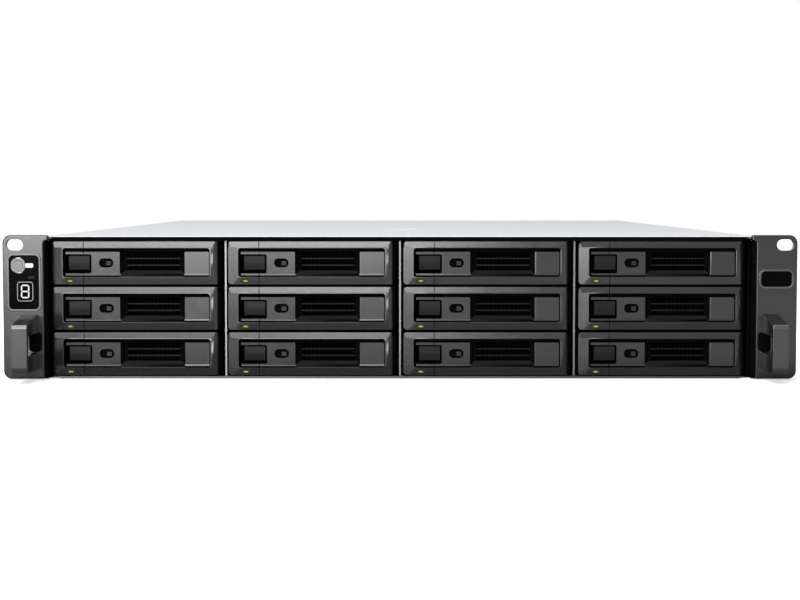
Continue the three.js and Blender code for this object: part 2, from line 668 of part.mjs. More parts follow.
// The board behind the drives, with a connector for each drive and a vent over each connector.
function backplane() {
  const half = HALF_INNER - BACKPLANE_MARGIN;
  const depths = [BACKPLANE_FRONT, BACKPLANE_FRONT + BOARD];
  const bays = times(COLUMNS, (column) => times(ROWS, (row) => [columnCentre(column), rowBase(row)])).flat();
  const vents = bays.map(([centre, base]) =>
    block([centre - VENT_WIDTH / 2, centre + VENT_WIDTH / 2], [0, CHASSIS_REAR], [
      base + VENT_RISE,
      base + VENT_RISE + VENT_HEIGHT,
    ]),
  );
  const connectors = bays.map(([centre, base]) =>
    block(
      [centre - CONNECTOR_WIDTH / 2, centre + CONNECTOR_WIDTH / 2],
      [BACKPLANE_FRONT - CONNECTOR_DEPTH, BACKPLANE_FRONT + GAP],
      [base + CONNECTOR_RISE, base + CONNECTOR_RISE + CONNECTOR_HEIGHT],
    ),
  );
  const board = block([-half, half], depths, [FLOOR_SHEET + GAP, WALL_TOP - GAP]);
  return join(cut(board, vents), connectors);
}

const fanX = (index) => (index - (FAN_COUNT - 1) / 2) * FAN_PITCH;

// The fan wall: a sheet with a seat, three square fan frames, their stators and shafts.
function fanCage() {
  const half = HALF_INNER - FAN_WALL_INSET;
  const back = FAN_FRONT + FAN_DEPTH;
  const low = FLOOR_SHEET + GAP;
  const sheet = block([-half, half], [FAN_FRONT - FAN_SHEET, FAN_FRONT + GAP], [low, WALL_TOP - FAN_WALL_TOP_ROOM]);
  const seat = block([-half, half], [FAN_FRONT - FAN_SHEET, FAN_FRONT + FAN_SEAT_DEPTH], [low, low + FAN_SEAT]);
  const frames = times(FAN_COUNT, (index) => {
    const x = fanX(index);
    return block([x - FAN_SIZE / 2, x + FAN_SIZE / 2], [FAN_FRONT, back], [
      FAN_CENTRE - FAN_SIZE / 2 - GAP,
      FAN_CENTRE + FAN_SIZE / 2,
    ]);
  });
  const bores = times(FAN_COUNT, (index) => barY(fanX(index), FAN_CENTRE, FAN_BORE, [0, back + 1], 24));
  const stators = times(FAN_COUNT, (index) => {
    const x = fanX(index);
    const depths = [back - STATOR_DEPTH, back];
    const spoke = FAN_BORE + GAP;
    return join(
      barY(x, FAN_CENTRE, FAN_HUB, depths, 12),
      block([x - spoke, x + spoke], depths, [FAN_CENTRE - STRUT_WIDTH / 2, FAN_CENTRE + STRUT_WIDTH / 2]),
      block([x - STRUT_WIDTH / 2, x + STRUT_WIDTH / 2], depths, [FAN_CENTRE - spoke, FAN_CENTRE + spoke]),
      barY(x, FAN_CENTRE, SHAFT_RADIUS, [back - STATOR_DEPTH - SHAFT_REACH, back - GAP], 10),
    );
  });
  return join(cut(join(sheet, seat, frames), bores), stators);
}

// A fan rotor about the Y axis: a hub with a blind bore for its shaft, and tilted blades.
function rotor(sizes) {
  const hub = barY(0, 0, sizes.hub, [sizes.front, sizes.front + sizes.length], 16);
  const boreStart = sizes.shaftEnd - sizes.shaftWay * GAP;
  const boreEnd = sizes.shaftWay > 0 ? sizes.front + sizes.length + 1 : sizes.front - 1;
  const bore = barY(0, 0, sizes.shaft + GAP, [Math.min(boreStart, boreEnd), Math.max(boreStart, boreEnd)], 8);
  const halfSpread = (sizes.chord * Math.sin(BLADE_TILT) + sizes.thickness * Math.cos(BLADE_TILT)) / 2;
  const reach = Math.sqrt(sizes.tip ** 2 - halfSpread ** 2);
  const bladeStart = sizes.hub * BLADE_ROOT;
  const middle = sizes.front + sizes.length / 2;
  const blades = times(sizes.blades, (index) => {
    const blade = new THREE.BoxGeometry(sizes.thickness, sizes.chord, reach - bladeStart);
    blade.rotateZ(BLADE_TILT).translate(0, 0, (reach + bladeStart) / 2);
    blade.rotateY((index / sizes.blades) * 2 * Math.PI).translate(0, middle, 0);
    return solidOf(blade);
  });
  return cut(join(hub, blades), bore);
}

function addFans() {
  const shaftEnd = FAN_DEPTH - STATOR_DEPTH - SHAFT_REACH;
  const blades = geometryOf(
    rotor({
      hub: FAN_HUB,
      front: ROTOR_INSET,
      length: ROTOR_LENGTH,
      shaft: SHAFT_RADIUS,
      shaftEnd,
      shaftWay: 1,
      chord: BLADE_CHORD,
      thickness: BLADE_THICKNESS,
      tip: FAN_BORE - BLADE_TIP_GAP,
      blades: FAN_BLADES,
    }),
  );
  for (let index = 0; index < FAN_COUNT; index++) {
    addPiece("fan_rotor_" + (index + 1), blades, blackPlastic, [fanX(index), FAN_FRONT, FAN_CENTRE]);
  }
}

// The lower case: floor, sides, rear wall, the lip under the trays and the bay of the supplies.
// A sheet that is welded on ends inside the sheet that it meets.
function chassisPan() {
  const bite = SHEET / 2;
  const shell = cut(
    block([-HALF_CHASSIS, HALF_CHASSIS], [CAGE_FRONT, CHASSIS_REAR], [0, WALL_TOP]),
    block([-HALF_INNER, HALF_INNER], [0, CHASSIS_REAR - SHEET], [FLOOR_SHEET, WALL_TOP + 1]),
  );
  const lipHalf = HALF_INNER - LIP_INSET;
  const lip = block([-lipHalf, lipHalf], [LIP_FRONT, CAGE_FRONT - GAP], [LIP_LOW, LIP_HIGH]);
  const lipRoot = block([-lipHalf + GAP, lipHalf - GAP], [LIP_FRONT + SHEET, CAGE_FRONT + bite], [
    LIP_ROOT_INSET,
    FLOOR_SHEET - LIP_ROOT_INSET,
  ]);
  const bayWallRight = SUPPLY_LEFT - SUPPLY_GAP;
  const bayWall = block([bayWallRight - SHEET, bayWallRight], [SUPPLY_FRONT, CHASSIS_REAR - bite], [
    FLOOR_SHEET / 2,
    WALL_TOP - GAP,
  ]);
  const shelfLow = SUPPLY_LOW + SUPPLY_HEIGHT + SUPPLY_GAP;
  const shelf = block([bayWallRight - bite, HALF_INNER + bite], [SUPPLY_FRONT + SHEET, CHASSIS_REAR - bite], [
    shelfLow,
    shelfLow + SUPPLY_SHELF,
  ]);
  const wallDepths = [CHASSIS_REAR - 2 * SHEET, CHASSIS_REAR + 1];
  const supplyDoors = [0, 1].map((index) =>
    block([SUPPLY_LEFT - SUPPLY_DOOR_GAP, SUPPLY_RIGHT + SUPPLY_DOOR_GAP], wallDepths, [
      SUPPLY_LOW - SUPPLY_DOOR_GAP + index * SUPPLY_STEP,
      SUPPLY_LOW + SUPPLY_HEIGHT + SUPPLY_DOOR_GAP + index * SUPPLY_STEP,
    ]),
  );
  const portDoors = times(PORT_COUNT, (index) => {
    const { x, z } = portBox(index, PORT_WALL + PORT_CLEARANCE);
    return block(x, wallDepths, z);
  });
  const slotStart = -HALF_INNER + REAR_SLOT_MARGIN;
  const slotRoom = bayWallRight - SHEET - REAR_SLOT_MARGIN - slotStart;
  const slotCount = Math.floor((slotRoom - REAR_SLOT_WIDTH) / REAR_SLOT_PITCH) + 1;
  const slots = times(slotCount, (index) => {
    const left = slotStart + index * REAR_SLOT_PITCH;
    return block([left, left + REAR_SLOT_WIDTH], wallDepths, [REAR_SLOT_LOW, REAR_SLOT_HIGH]);
  });
  return cut(join(shell, lip, lipRoot, bayWall, shelf), supplyDoors, portDoors, slots);
}

// Sides and heights of a port's hollow, grown by a margin.
function portBox(index, margin) {
  const left = EXPANDER_LEFT + PORT_FROM_EDGE + index * PORT_PITCH;
  const low = EXPANDER_TOP + PORT_WALL;
  return {
    x: [left - margin, left + PORT_WIDTH + margin],
    z: [low - margin, low + PORT_HEIGHT + margin],
  };
}

// The expander board on its standoffs, with two cable ports and a finned heat sink.
function expanderBoard() {
  const right = EXPANDER_LEFT + EXPANDER_WIDTH;
  const front = EXPANDER_BACK - EXPANDER_LENGTH;
  const board = block([EXPANDER_LEFT, right], [front, EXPANDER_BACK], [EXPANDER_TOP - BOARD, EXPANDER_TOP]);
  const standoffs = [EXPANDER_LEFT + STANDOFF_INSET, right - STANDOFF_INSET].flatMap((x) =>
    [front + STANDOFF_INSET, EXPANDER_BACK - STANDOFF_INSET].map((y) =>
      barZ(x, y, STANDOFF_RADIUS, [FLOOR_SHEET + GAP, EXPANDER_TOP - GAP], 6),
    ),
  );
  const ports = times(PORT_COUNT, (index) => {
    const shell = portBox(index, PORT_WALL);
    const hollow = portBox(index, 0);
    return cut(
      block(shell.x, [CHASSIS_REAR - PORT_DEPTH, CHASSIS_REAR], [EXPANDER_TOP - GAP, shell.z[1]]),
      block(hollow.x, [CHASSIS_REAR - PORT_DEPTH + PORT_WALL, CHASSIS_REAR + 1], hollow.z),
    );
  });
  const sinkLeft = (EXPANDER_LEFT + right - SINK_SIZE) / 2;
  const sinkFront = front + (EXPANDER_LENGTH - PORT_DEPTH - SINK_SIZE) / 2;
  const sinkDepths = [sinkFront, sinkFront + SINK_SIZE];
  const sinkBase = block([sinkLeft, sinkLeft + SINK_SIZE], sinkDepths, [EXPANDER_TOP - GAP, EXPANDER_TOP + SINK_BASE]);
  const fins = times(SINK_FINS, (index) => {
    const left = sinkLeft + (index * (SINK_SIZE - SINK_FIN)) / (SINK_FINS - 1);
    return block([left, left + SINK_FIN], sinkDepths, [EXPANDER_TOP, EXPANDER_TOP + SINK_HEIGHT]);
  });
  return join(board, standoffs, ports, sinkBase, fins);
}

// A hot-swap supply, measured from its lower left corner and its rear face at Y = 0.
function supply() {
  const middle = SUPPLY_HEIGHT / 2;
  const body = block([0, SUPPLY_WIDTH], [-SUPPLY_LENGTH, 0], [0, SUPPLY_HEIGHT]);
  const inlet = block([INLET_LEFT, INLET_LEFT + INLET_WIDTH], [-INLET_DEPTH, 1], [
    middle - INLET_HEIGHT / 2,
    middle + INLET_HEIGHT / 2,
  ]);
  const bore = barY(SUPPLY_FAN_FROM_SIDE, middle, SUPPLY_FAN_BORE, [-SUPPLY_FAN_DEPTH, 1], 24);
  const shaft = barY(
    SUPPLY_FAN_FROM_SIDE,
    middle,
    SUPPLY_SHAFT,
    [-SUPPLY_FAN_DEPTH - GAP, -SUPPLY_FAN_DEPTH + SUPPLY_SHAFT_REACH],
    8,
  );
  const catchRoom = block(
    [CATCH_FROM_SIDE - CATCH_SIDE_GAP, CATCH_FROM_SIDE + CATCH_WIDTH + CATCH_TRAVEL + CATCH_SIDE_GAP],
    [-CATCH_ROOT - CATCH_SIDE_GAP, 1],
    [middle - CATCH_HEIGHT / 2 - CATCH_SIDE_GAP, middle + CATCH_HEIGHT / 2 + CATCH_SIDE_GAP],
  );
  const gripX = [GRIP_LEFT, GRIP_LEFT + GRIP_WIDTH];
  const grip = cut(
    block(gripX, [-GAP, SUPPLY_HANDLE_REACH], [middle - GRIP_HEIGHT / 2, middle + GRIP_HEIGHT / 2]),
    block([gripX[0] - 1, gripX[1] + 1], [0, SUPPLY_HANDLE_REACH - GRIP_BAR], [
      middle - GRIP_HEIGHT / 2 + GRIP_BAR,
      middle + GRIP_HEIGHT / 2 - GRIP_BAR,
    ]),
  );
  return join(cut(body, inlet, bore, catchRoom), shaft, grip);
}

function supplyCatch() {
  const middle = SUPPLY_HEIGHT / 2;
  return block([CATCH_FROM_SIDE, CATCH_FROM_SIDE + CATCH_WIDTH], [-CATCH_ROOT, CATCH_REACH], [
    middle - CATCH_HEIGHT / 2,
    middle + CATCH_HEIGHT / 2,
  ]);
}

function addSupplies() {
  const body = geometryOf(supply());
  const tab = geometryOf(supplyCatch());
  const shaftEnd = -SUPPLY_FAN_DEPTH + SUPPLY_SHAFT_REACH;
  const blades = geometryOf(
    rotor({
      hub: SUPPLY_FAN_HUB,
      front: -SUPPLY_FAN_INSET - SUPPLY_FAN_LENGTH,
      length: SUPPLY_FAN_LENGTH,
      shaft: SUPPLY_SHAFT,
      shaftEnd,
      shaftWay: -1,
      chord: SUPPLY_BLADE_CHORD,
      thickness: SUPPLY_BLADE_THICKNESS,
      tip: SUPPLY_FAN_BORE - SUPPLY_BLADE_TIP_GAP,
      blades: SUPPLY_FAN_BLADES,
    }),
  );
  [0, 1].forEach((index) => {
    const low = SUPPLY_LOW + index * SUPPLY_STEP;
    const name = "power_supply_" + (index + 1);
    addPiece(name, body, steel, [SUPPLY_LEFT, CHASSIS_REAR, low]);
    addPiece(name + "_catch", tab, blackPlastic, [SUPPLY_LEFT, CHASSIS_REAR, low]);
    const fanPlace = [SUPPLY_LEFT + SUPPLY_FAN_FROM_SIDE, CHASSIS_REAR, low + SUPPLY_HEIGHT / 2];
    addPiece(name + "_rotor", blades, blackPlastic, fanPlace);
  });
}

// Covers
function frontCover() {
  return block([-HALF_CHASSIS, HALF_CHASSIS], [COVER_FRONT, COVER_SEAM - GAP / 2], [COVER_UNDER, COVER_TOP]);
}

function rearCover() {
  const depths = [COVER_SEAM + GAP / 2, CHASSIS_REAR];
  const sheet = block([-HALF_CHASSIS, HALF_CHASSIS], depths, [COVER_UNDER, COVER_TOP]);
  const outer = HALF_INNER - GAP;
  const lips = [-1, 1].map((side) =>
    block(across(side, outer - COVER_SHEET, outer), [depths[0], CHASSIS_REAR - SHEET - GAP], [
      COVER_UNDER - COVER_LIP,
      COVER_UNDER + GAP,
    ]),
  );
  return join(sheet, lips);
}

// Ears
function ring([left, right], [low, high], corner) {
  const depths = [-RING_RISE, EAR_THICKNESS / 2];
  const outer = roundedOutline([left - RING_WIDTH, right + RING_WIDTH], [low - RING_WIDTH, high + RING_WIDTH],
    corner + RING_WIDTH);
  return cut(slab(outer, depths), slab(roundedOutline([left, right], [low, high], corner), [-1, EAR_THICKNESS]));
}

const WINDOW_X = [WINDOW_LEFT, WINDOW_LEFT + WINDOW_WIDTH];
const WINDOW_Z = [WINDOW_LOW, WINDOW_LOW + WINDOW_HEIGHT];
const PLATE_RIGHT = HALF_SPAN - PLATE_FROM_EDGE;
const PLATE_X = [PLATE_RIGHT - PLATE_WIDTH, PLATE_RIGHT];
const PLATE_Z = [EAR_TOP - PLATE_FROM_TOP - PLATE_HEIGHT, EAR_TOP - PLATE_FROM_TOP];
const RELEASE_Z = [RELEASE_LOW, RELEASE_LOW + RELEASE_HEIGHT];
const releaseX = (side) =>
  across(side, HALF_CHASSIS + RELEASE_FROM_SIDE, HALF_CHASSIS + RELEASE_FROM_SIDE + RELEASE_WIDTH);

// The plate of an ear with its rack slot, the cheek beside the bays and the bracket along the case.
function earBody(side) {
  const depths = [0, EAR_THICKNESS];
  const rounded = roundedOutline(across(side, HALF_CHASSIS, HALF_SPAN), [EAR_BOTTOM, EAR_TOP], EAR_CORNER);
  const square = block(across(side, HALF_CHASSIS, HALF_CHASSIS + EAR_WIDTH / 2), depths, [EAR_BOTTOM, EAR_TOP]);
  const cheek = block(
    across(side, HALF_INNER, HALF_CHASSIS + EAR_BITE),
    [CHEEK_SETBACK, CAGE_FRONT - GAP],
    [CHEEK_LOW, WALL_TOP],
  );
  const bracket = block(
    across(side, HALF_CHASSIS + GAP, HALF_CHASSIS + GAP + BRACKET_SHEET),
    [EAR_THICKNESS - EAR_BITE, EAR_THICKNESS + BRACKET_LENGTH],
    [BRACKET_LOW, EAR_TOP - BRACKET_FROM_TOP],
  );
  const slotTop = EAR_TOP - SLOT_FROM_TOP;
  const slot = slab(
    roundedOutline(
      across(side, HALF_SPAN - SLOT_FROM_EDGE - SLOT_WIDTH, HALF_SPAN - SLOT_FROM_EDGE),
      [slotTop - SLOT_HEIGHT, slotTop],
      SLOT_HEIGHT / 2 - SLOT_FLAT,
    ),
    [-1, EAR_THICKNESS + 1],
    4,
  );
  const [releaseInner, releaseOuter] = releaseX(side);
  const releaseDoor = slab(
    roundedOutline(
      [releaseInner - RELEASE_CLEARANCE, releaseOuter + RELEASE_CLEARANCE],
      [RELEASE_Z[0] - RELEASE_CLEARANCE, RELEASE_Z[1] + RELEASE_CLEARANCE],
      RELEASE_CORNER + RELEASE_CLEARANCE,
    ),
    [-1, EAR_THICKNESS + 1],
  );
  return cut(join(slab(rounded, depths, 5), square, cheek, bracket), slot, releaseDoor);
}

function leftEar() {
  const seat = slab(roundedOutline(WINDOW_X, WINDOW_Z, WINDOW_CORNER), [-1, WINDOW_FACE + WINDOW_SHEET + GAP]);
  const powerDoor = barY(POWER_X, POWER_Z, POWER_RADIUS + GAP, [-1, EAR_THICKNESS + 1], 20);
  return cut(join(earBody(-1), ring(WINDOW_X, WINDOW_Z, WINDOW_CORNER)), seat, powerDoor);
}

function rightEar() {
  const seat = slab(roundedOutline(PLATE_X, PLATE_Z, PLATE_CORNER), [-1, PLATE_SINK]);
  return cut(join(earBody(1), ring(PLATE_X, PLATE_Z, PLATE_CORNER)), seat);
}

function displayWindow() {
  const inset = ([low, high]) => [low + GAP, high - GAP];
  const sheet = slab(roundedOutline(inset(WINDOW_X), inset(WINDOW_Z), WINDOW_CORNER - GAP), [
    WINDOW_FACE,
    WINDOW_FACE + WINDOW_SHEET,
  ]);
  return cut(sheet, barY(POWER_X, POWER_Z, POWER_RADIUS + GAP, [-1, EAR_THICKNESS], 20));
}

function powerButton() {
  return barY(POWER_X, POWER_Z, POWER_RADIUS, [-POWER_PROUD, POWER_LENGTH - POWER_PROUD], 20);
}

// A pull handle: two legs on the ear and a bar across their front ends.
function handle(side) {
  const outline = new THREE.Shape();
  outline.moveTo(-GAP, HANDLE_LOW);
  outline.lineTo(-GAP, HANDLE_TOP);
  outline.lineTo(-HANDLE_REACH + HANDLE_NOSE, HANDLE_TOP_FRONT);
  outline.quadraticCurveTo(
    -HANDLE_REACH,
    HANDLE_TOP_FRONT,
    -HANDLE_REACH,
    HANDLE_TOP_FRONT - HANDLE_NOSE,
  );
  outline.lineTo(-HANDLE_REACH, HANDLE_LOW + HANDLE_CHIN);
  outline.lineTo(-HANDLE_REACH + HANDLE_CHIN_SET, HANDLE_LOW);
  const outer = HALF_SPAN - HANDLE_FROM_EDGE;
  const width = across(side, outer - HANDLE_WIDTH, outer);
  const fingers = roundedOutline([-HANDLE_REACH + HANDLE_BAR, HANDLE_REACH], [FINGER_LOW, FINGER_HIGH],
    FINGER_CORNER);
  return cut(section(outline, width, 5), section(fingers, [width[0] - 1, width[1] + 1]));
}

// The push release of a rack latch, in its door in the ear.
function release(side) {
  return slab(roundedOutline(releaseX(side), RELEASE_Z, RELEASE_CORNER), [RELEASE_FACE, RELEASE_FACE + RELEASE_LENGTH]);
}

addPiece("chassis_pan", chassisPan(), steel);
addPiece("drive_cage", driveCage(), steel);
addPiece("backplane", backplane(), boardGreen);
addPiece("fan_cage", fanCage(), blackPlastic);
addPiece("expander_board", expanderBoard(), boardGreen);
addPiece("front_cover", frontCover(), coverPaint);
addPiece("rear_cover", rearCover(), coverPaint);
addPiece("left_ear", leftEar(), earPlastic);
addPiece("right_ear", rightEar(), earPlastic);
addPiece("display_window", displayWindow(), gloss);
addPiece("power_button", powerButton(), silver);
addPiece("left_handle", handle(-1), handleCast);
addPiece("right_handle", handle(1), handleCast);
addPiece("left_release", release(-1), blackPlastic);
addPiece("right_release", release(1), blackPlastic);
addTrays();
addFans();
addSupplies();

root.position.y = -(REAR_REACH - HANDLE_REACH) / 2;

export default root;
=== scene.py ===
"""Dresses a two-unit rack storage enclosure and sets it in a plain studio.

The enclosure holds twelve drive trays, rack ears with pull handles, a small display, sheet-metal
covers, a bank of fans and two hot-swap power supplies. Shapes are drawn in millimetres in the same
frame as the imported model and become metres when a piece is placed.
"""

import logging
import math
from collections.abc import Callable, Iterator, Sequence
from dataclasses import dataclass, field
from enum import Enum
from typing import Any, ClassVar

import bmesh
import bpy
from mathutils import Euler, Matrix, Vector


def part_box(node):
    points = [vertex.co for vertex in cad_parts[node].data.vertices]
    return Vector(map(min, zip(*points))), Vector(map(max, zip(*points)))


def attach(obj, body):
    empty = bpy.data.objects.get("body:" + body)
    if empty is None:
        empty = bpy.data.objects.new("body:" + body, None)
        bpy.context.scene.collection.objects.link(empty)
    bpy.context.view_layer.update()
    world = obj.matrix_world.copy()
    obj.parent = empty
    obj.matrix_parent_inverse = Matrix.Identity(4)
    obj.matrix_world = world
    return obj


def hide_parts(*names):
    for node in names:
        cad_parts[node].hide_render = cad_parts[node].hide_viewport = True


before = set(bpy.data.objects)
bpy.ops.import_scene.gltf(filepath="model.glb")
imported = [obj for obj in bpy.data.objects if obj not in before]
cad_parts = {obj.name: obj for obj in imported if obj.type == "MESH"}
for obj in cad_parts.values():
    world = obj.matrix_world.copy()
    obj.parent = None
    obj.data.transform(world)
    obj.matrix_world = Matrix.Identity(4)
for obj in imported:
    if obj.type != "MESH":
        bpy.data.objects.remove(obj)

MM = 0.001
WELD = 0.004  # Corners this close become one, in millimetres
FLAT = 0.4  # Faces that meet at less than this are one face, in degrees
CREASE = 50  # Edges sharper than this stay sharp in the shading, in degrees
TRAYS = 12
TRAYS_IN_ROW = 4
LOG = logging.getLogger("enclosure")

Point = tuple[float, float]
Span = tuple[float, float]
Pane = tuple[Span, Span]
Colour = tuple[float, float, float]
Place = tuple[float, float, float]


class Axis(Enum):
    """The axis that an outline is drawn out along, as the places of u, v and that axis."""

    X = (1, 2, 0)
    Y = (0, 2, 1)
    Z = (0, 1, 2)


# Nodes


class Nodes:
    """Adds nodes to a tree and sets or links their sockets."""

    def __init__(self, tree: bpy.types.NodeTree) -> None:
        """Keeps the tree that the nodes go into."""
        self.tree = tree

    def node(self, kind: str, settings: dict[str, Any] | None = None, **inputs: Any) -> bpy.types.Node:
        """Adds one node.

        Args:
            kind: The node's type.
            settings: Its properties, with a ramp's stops as a list of places and colours.
            inputs: Values or links by socket name, with _ for a space, or s and the socket's number.

        Returns:
            The new node.
        """
        made = self.tree.nodes.new(kind)
        for name, value in (settings or {}).items():
            if name == "stops":
                self._stops(made.color_ramp, value)
            else:
                setattr(made, name, value)
        for name, value in inputs.items():
            numbered = name[0] == "s" and name[1:].isdigit()
            self.feed(made.inputs[int(name[1:])] if numbered else made.inputs[name.replace("_", " ")], value)
        return made

    def feed(self, socket: bpy.types.NodeSocket, value: Any) -> None:
        """Links a signal to a socket, or sets the socket's own value.

        Args:
            socket: The socket to feed.
            value: The signal to link, or the value to set.
        """
        if isinstance(value, Signal):
            self.tree.links.new(value.socket, socket)
        else:
            socket.default_value = value

    @staticmethod
    def _stops(ramp: bpy.types.ColorRamp, stops: Sequence[tuple[float, Colour]]) -> None:
        """Gives a colour ramp its stops.

        Args:
            ramp: The ramp.
            stops: The place and colour of each stop.
        """
        while len(ramp.elements) < len(stops):
            ramp.elements.new(0.5)
        for element, (place, colour) in zip(ramp.elements, stops):
            element.position = place
            element.color = (*colour, 1.0)

    def out(self, node: bpy.types.Node, socket: str | int = 0) -> "Signal":
        """The signal that leaves one of a node's output sockets."""
        return Signal(self, node.outputs[socket])

    def maths(self, operation: str, first: Any, second: Any = 0.0, third: Any = 0.0) -> "Signal":
        """The result of one Math node."""
        return self.out(self.node("ShaderNodeMath", {"operation": operation}, s0=first, s1=second, s2=third))


class Signal:
    """A number that leaves a socket, for use in plain Python expressions."""

    def __init__(self, nodes: Nodes, socket: bpy.types.NodeSocket) -> None:
        """Keeps the tree's builder and the socket."""
        self.nodes = nodes
        self.socket = socket

    def __add__(self, other: "Signal | float") -> "Signal":
        """Sum of two signals or values."""
        return self.nodes.maths("ADD", self, other)

    __radd__ = __add__

    def __sub__(self, other: "Signal | float") -> "Signal":
        """Difference of two signals or values."""
        return self.nodes.maths("SUBTRACT", self, other)

    def __rsub__(self, other: float) -> "Signal":
        """Difference of a value and this signal."""
        return self.nodes.maths("SUBTRACT", other, self)

    def __mul__(self, other: "Signal | float") -> "Signal":
        """Product of two signals or values."""
        return self.nodes.maths("MULTIPLY", self, other)

    __rmul__ = __mul__

    def __truediv__(self, other: "Signal | float") -> "Signal":
        """Quotient of two signals or values."""
        return self.nodes.maths("DIVIDE", self, other)

    def __gt__(self, other: "Signal | float") -> "Signal":
        """1 where this signal is greater, 0 elsewhere."""
        return self.nodes.maths("GREATER_THAN", self, other)

    def __lt__(self, other: "Signal | float") -> "Signal":
        """1 where this signal is less, 0 elsewhere."""
        return self.nodes.maths("LESS_THAN", self, other)

    def limited(self) -> "Signal":
        """This signal held between 0 and 1."""
        return self.nodes.maths("MINIMUM", self.nodes.maths("MAXIMUM", self, 0.0), 1.0)


class Shader(Nodes):
    """Builds one material round a Principled BSDF."""

    def __init__(self, name: str) -> None:
        """Makes an empty material of that name.

        Args:
            name: The material's name.
        """
        self.material = bpy.data.materials.new(name)
        self.material.use_nodes = True
        super().__init__(self.material.node_tree)
        self.tree.nodes.clear()

    def places(self, stretch: Place = (1.0, 1.0, 1.0)) -> Signal:
        """Object coordinates in metres, stretched."""
        where = self.out(self.node("ShaderNodeTexCoord"), "Object")
        return self.out(self.node("ShaderNodeMapping", Vector=where, Scale=stretch))

    def noise(self, size: float, detail: float = 2.0, stretch: Place = (1.0, 1.0, 1.0)) -> Signal:
        """Smooth noise about 0.5.

        Args:
            size: How far apart its lumps lie, in millimetres.
            detail: How many finer layers it has.
            stretch: How much denser it is along each axis.

        Returns:
            The noise as a signal.
        """
        where = self.places(stretch)
        return self.out(self.node("ShaderNodeTexNoise", Vector=where, Scale=1.0 / (size * MM),
                                  Detail=detail), "Fac")

    def mixed(self, share: Any, first: Any, second: Any) -> Signal:
        """Two colours mixed by a share of the second."""
        pair = [value if isinstance(value, Signal) else (*value, 1.0) for value in (first, second)]
        return self.out(self.node("ShaderNodeMix", {"data_type": "RGBA"}, s0=share, s6=pair[0], s7=pair[1]),
                        2)

    def bumped(self, height: Signal, depth: float) -> Signal:
        """A normal that follows a height of up to depth millimetres."""
        return self.out(self.node("ShaderNodeBump", Strength=1.0, Distance=depth * MM, Height=height))

    def surface(self, **inputs: Any) -> bpy.types.Material:
        """Ends the tree with a Principled BSDF that has these inputs."""
        self.node("ShaderNodeOutputMaterial",
                  Surface=self.out(self.node("ShaderNodeBsdfPrincipled", **inputs)))
        return self.material

    def axes(self) -> list[Signal]:
        """The places on each axis, in millimetres."""
        apart = self.node("ShaderNodeSeparateXYZ", Vector=self.places())
        return [self.out(apart, number) * 1000.0 for number in range(3)]


# Finishes


@dataclass(frozen=True)
class Finish:
    """What every finish has: its name, its colour, how rough it is and its slot in the record."""

    name: str
    colour: Colour
    roughness: float
    slot: str = field(default="", kw_only=True)

    made: ClassVar[dict[str, bpy.types.Material]] = {}

    def material(self) -> bpy.types.Material:
        """The finish's material, built the first time it is asked for.

        Returns:
            The material.
        """
        if self.name not in self.made:
            self.made[self.name] = self.build(Shader(self.name))
        return self.made[self.name]

    def build(self, shader: Shader) -> bpy.types.Material:
        """Builds the material's nodes."""
        raise NotImplementedError

    def shade(self, factor: float) -> Colour:
        """The finish's colour, darker or lighter by a factor."""
        return tuple(channel * factor for channel in self.colour)


@dataclass(frozen=True)
class MouldedPlastic(Finish):
    """Moulded plastic with a spark-eroded grain and faint flow marks."""

    grain: float = 0.35
    depth: float = 0.012
    flow: float = 24.0
    wear: float = 7.0
    mottle: float = 0.12
    specular: float = 0.5

    def build(self, shader: Shader) -> bpy.types.Material:
        """Builds grain, flow marks and slight wear in the gloss.

        Args:
            shader: The builder of its nodes.

        Returns:
            The material.
        """
        grain = shader.noise(self.grain, 3.0)
        flow = shader.noise(self.flow, 3.0, (1.0, 1.0, 2.5))
        rubbed = shader.noise(self.wear, 4.0)
        share = (flow * 0.7 + rubbed * 0.3).limited()
        colour = shader.mixed(share, self.shade(1.0 - self.mottle), self.shade(1.0 + self.mottle))
        return shader.surface(
            Base_Color=colour,
            Roughness=self.roughness + (rubbed - 0.5) * 0.1 + (grain - 0.5) * 0.06,
            Specular_IOR_Level=self.specular,
            Normal=shader.bumped(grain, self.depth),
        )


@dataclass(frozen=True)
class GalvanisedSheet(Finish):
    """Zinc-coated steel with faint crystals and rolling marks."""

    crystal: float = 7.0
    rolling: float = 1.2
    tones: Span = (0.88, 1.08)
    mark: float = 0.008

    def rolled(self, shader: Shader) -> Signal:
        """Marks drawn out along the sheet's length."""
        return shader.noise(self.rolling, 2.0, (1.0, 0.05, 1.0))

    def toned(self, shader: Shader, share: Signal) -> Signal:
        """The sheet's colour between its dark and its light tone."""
        return shader.mixed(share.limited(), *(self.shade(tone) for tone in self.tones))

    def build(self, shader: Shader) -> bpy.types.Material:
        """Builds crystals that differ a little in tone and gloss.

        Args:
            shader: The builder of its nodes.

        Returns:
            The material.
        """
        cells = shader.node("ShaderNodeTexVoronoi", Vector=shader.places(), Scale=1.0 / (self.crystal * MM))
        tone = shader.out(shader.node("ShaderNodeSeparateColor", Color=shader.out(cells, "Color")), 0)
        rolled = self.rolled(shader)
        return shader.surface(
            Base_Color=self.toned(shader, tone * 0.5 + rolled * 0.5),
            Roughness=self.roughness + (tone - 0.5) * 0.12 + (rolled - 0.5) * 0.08,
            Metallic=1.0,
            Normal=shader.bumped(rolled, self.mark),
        )


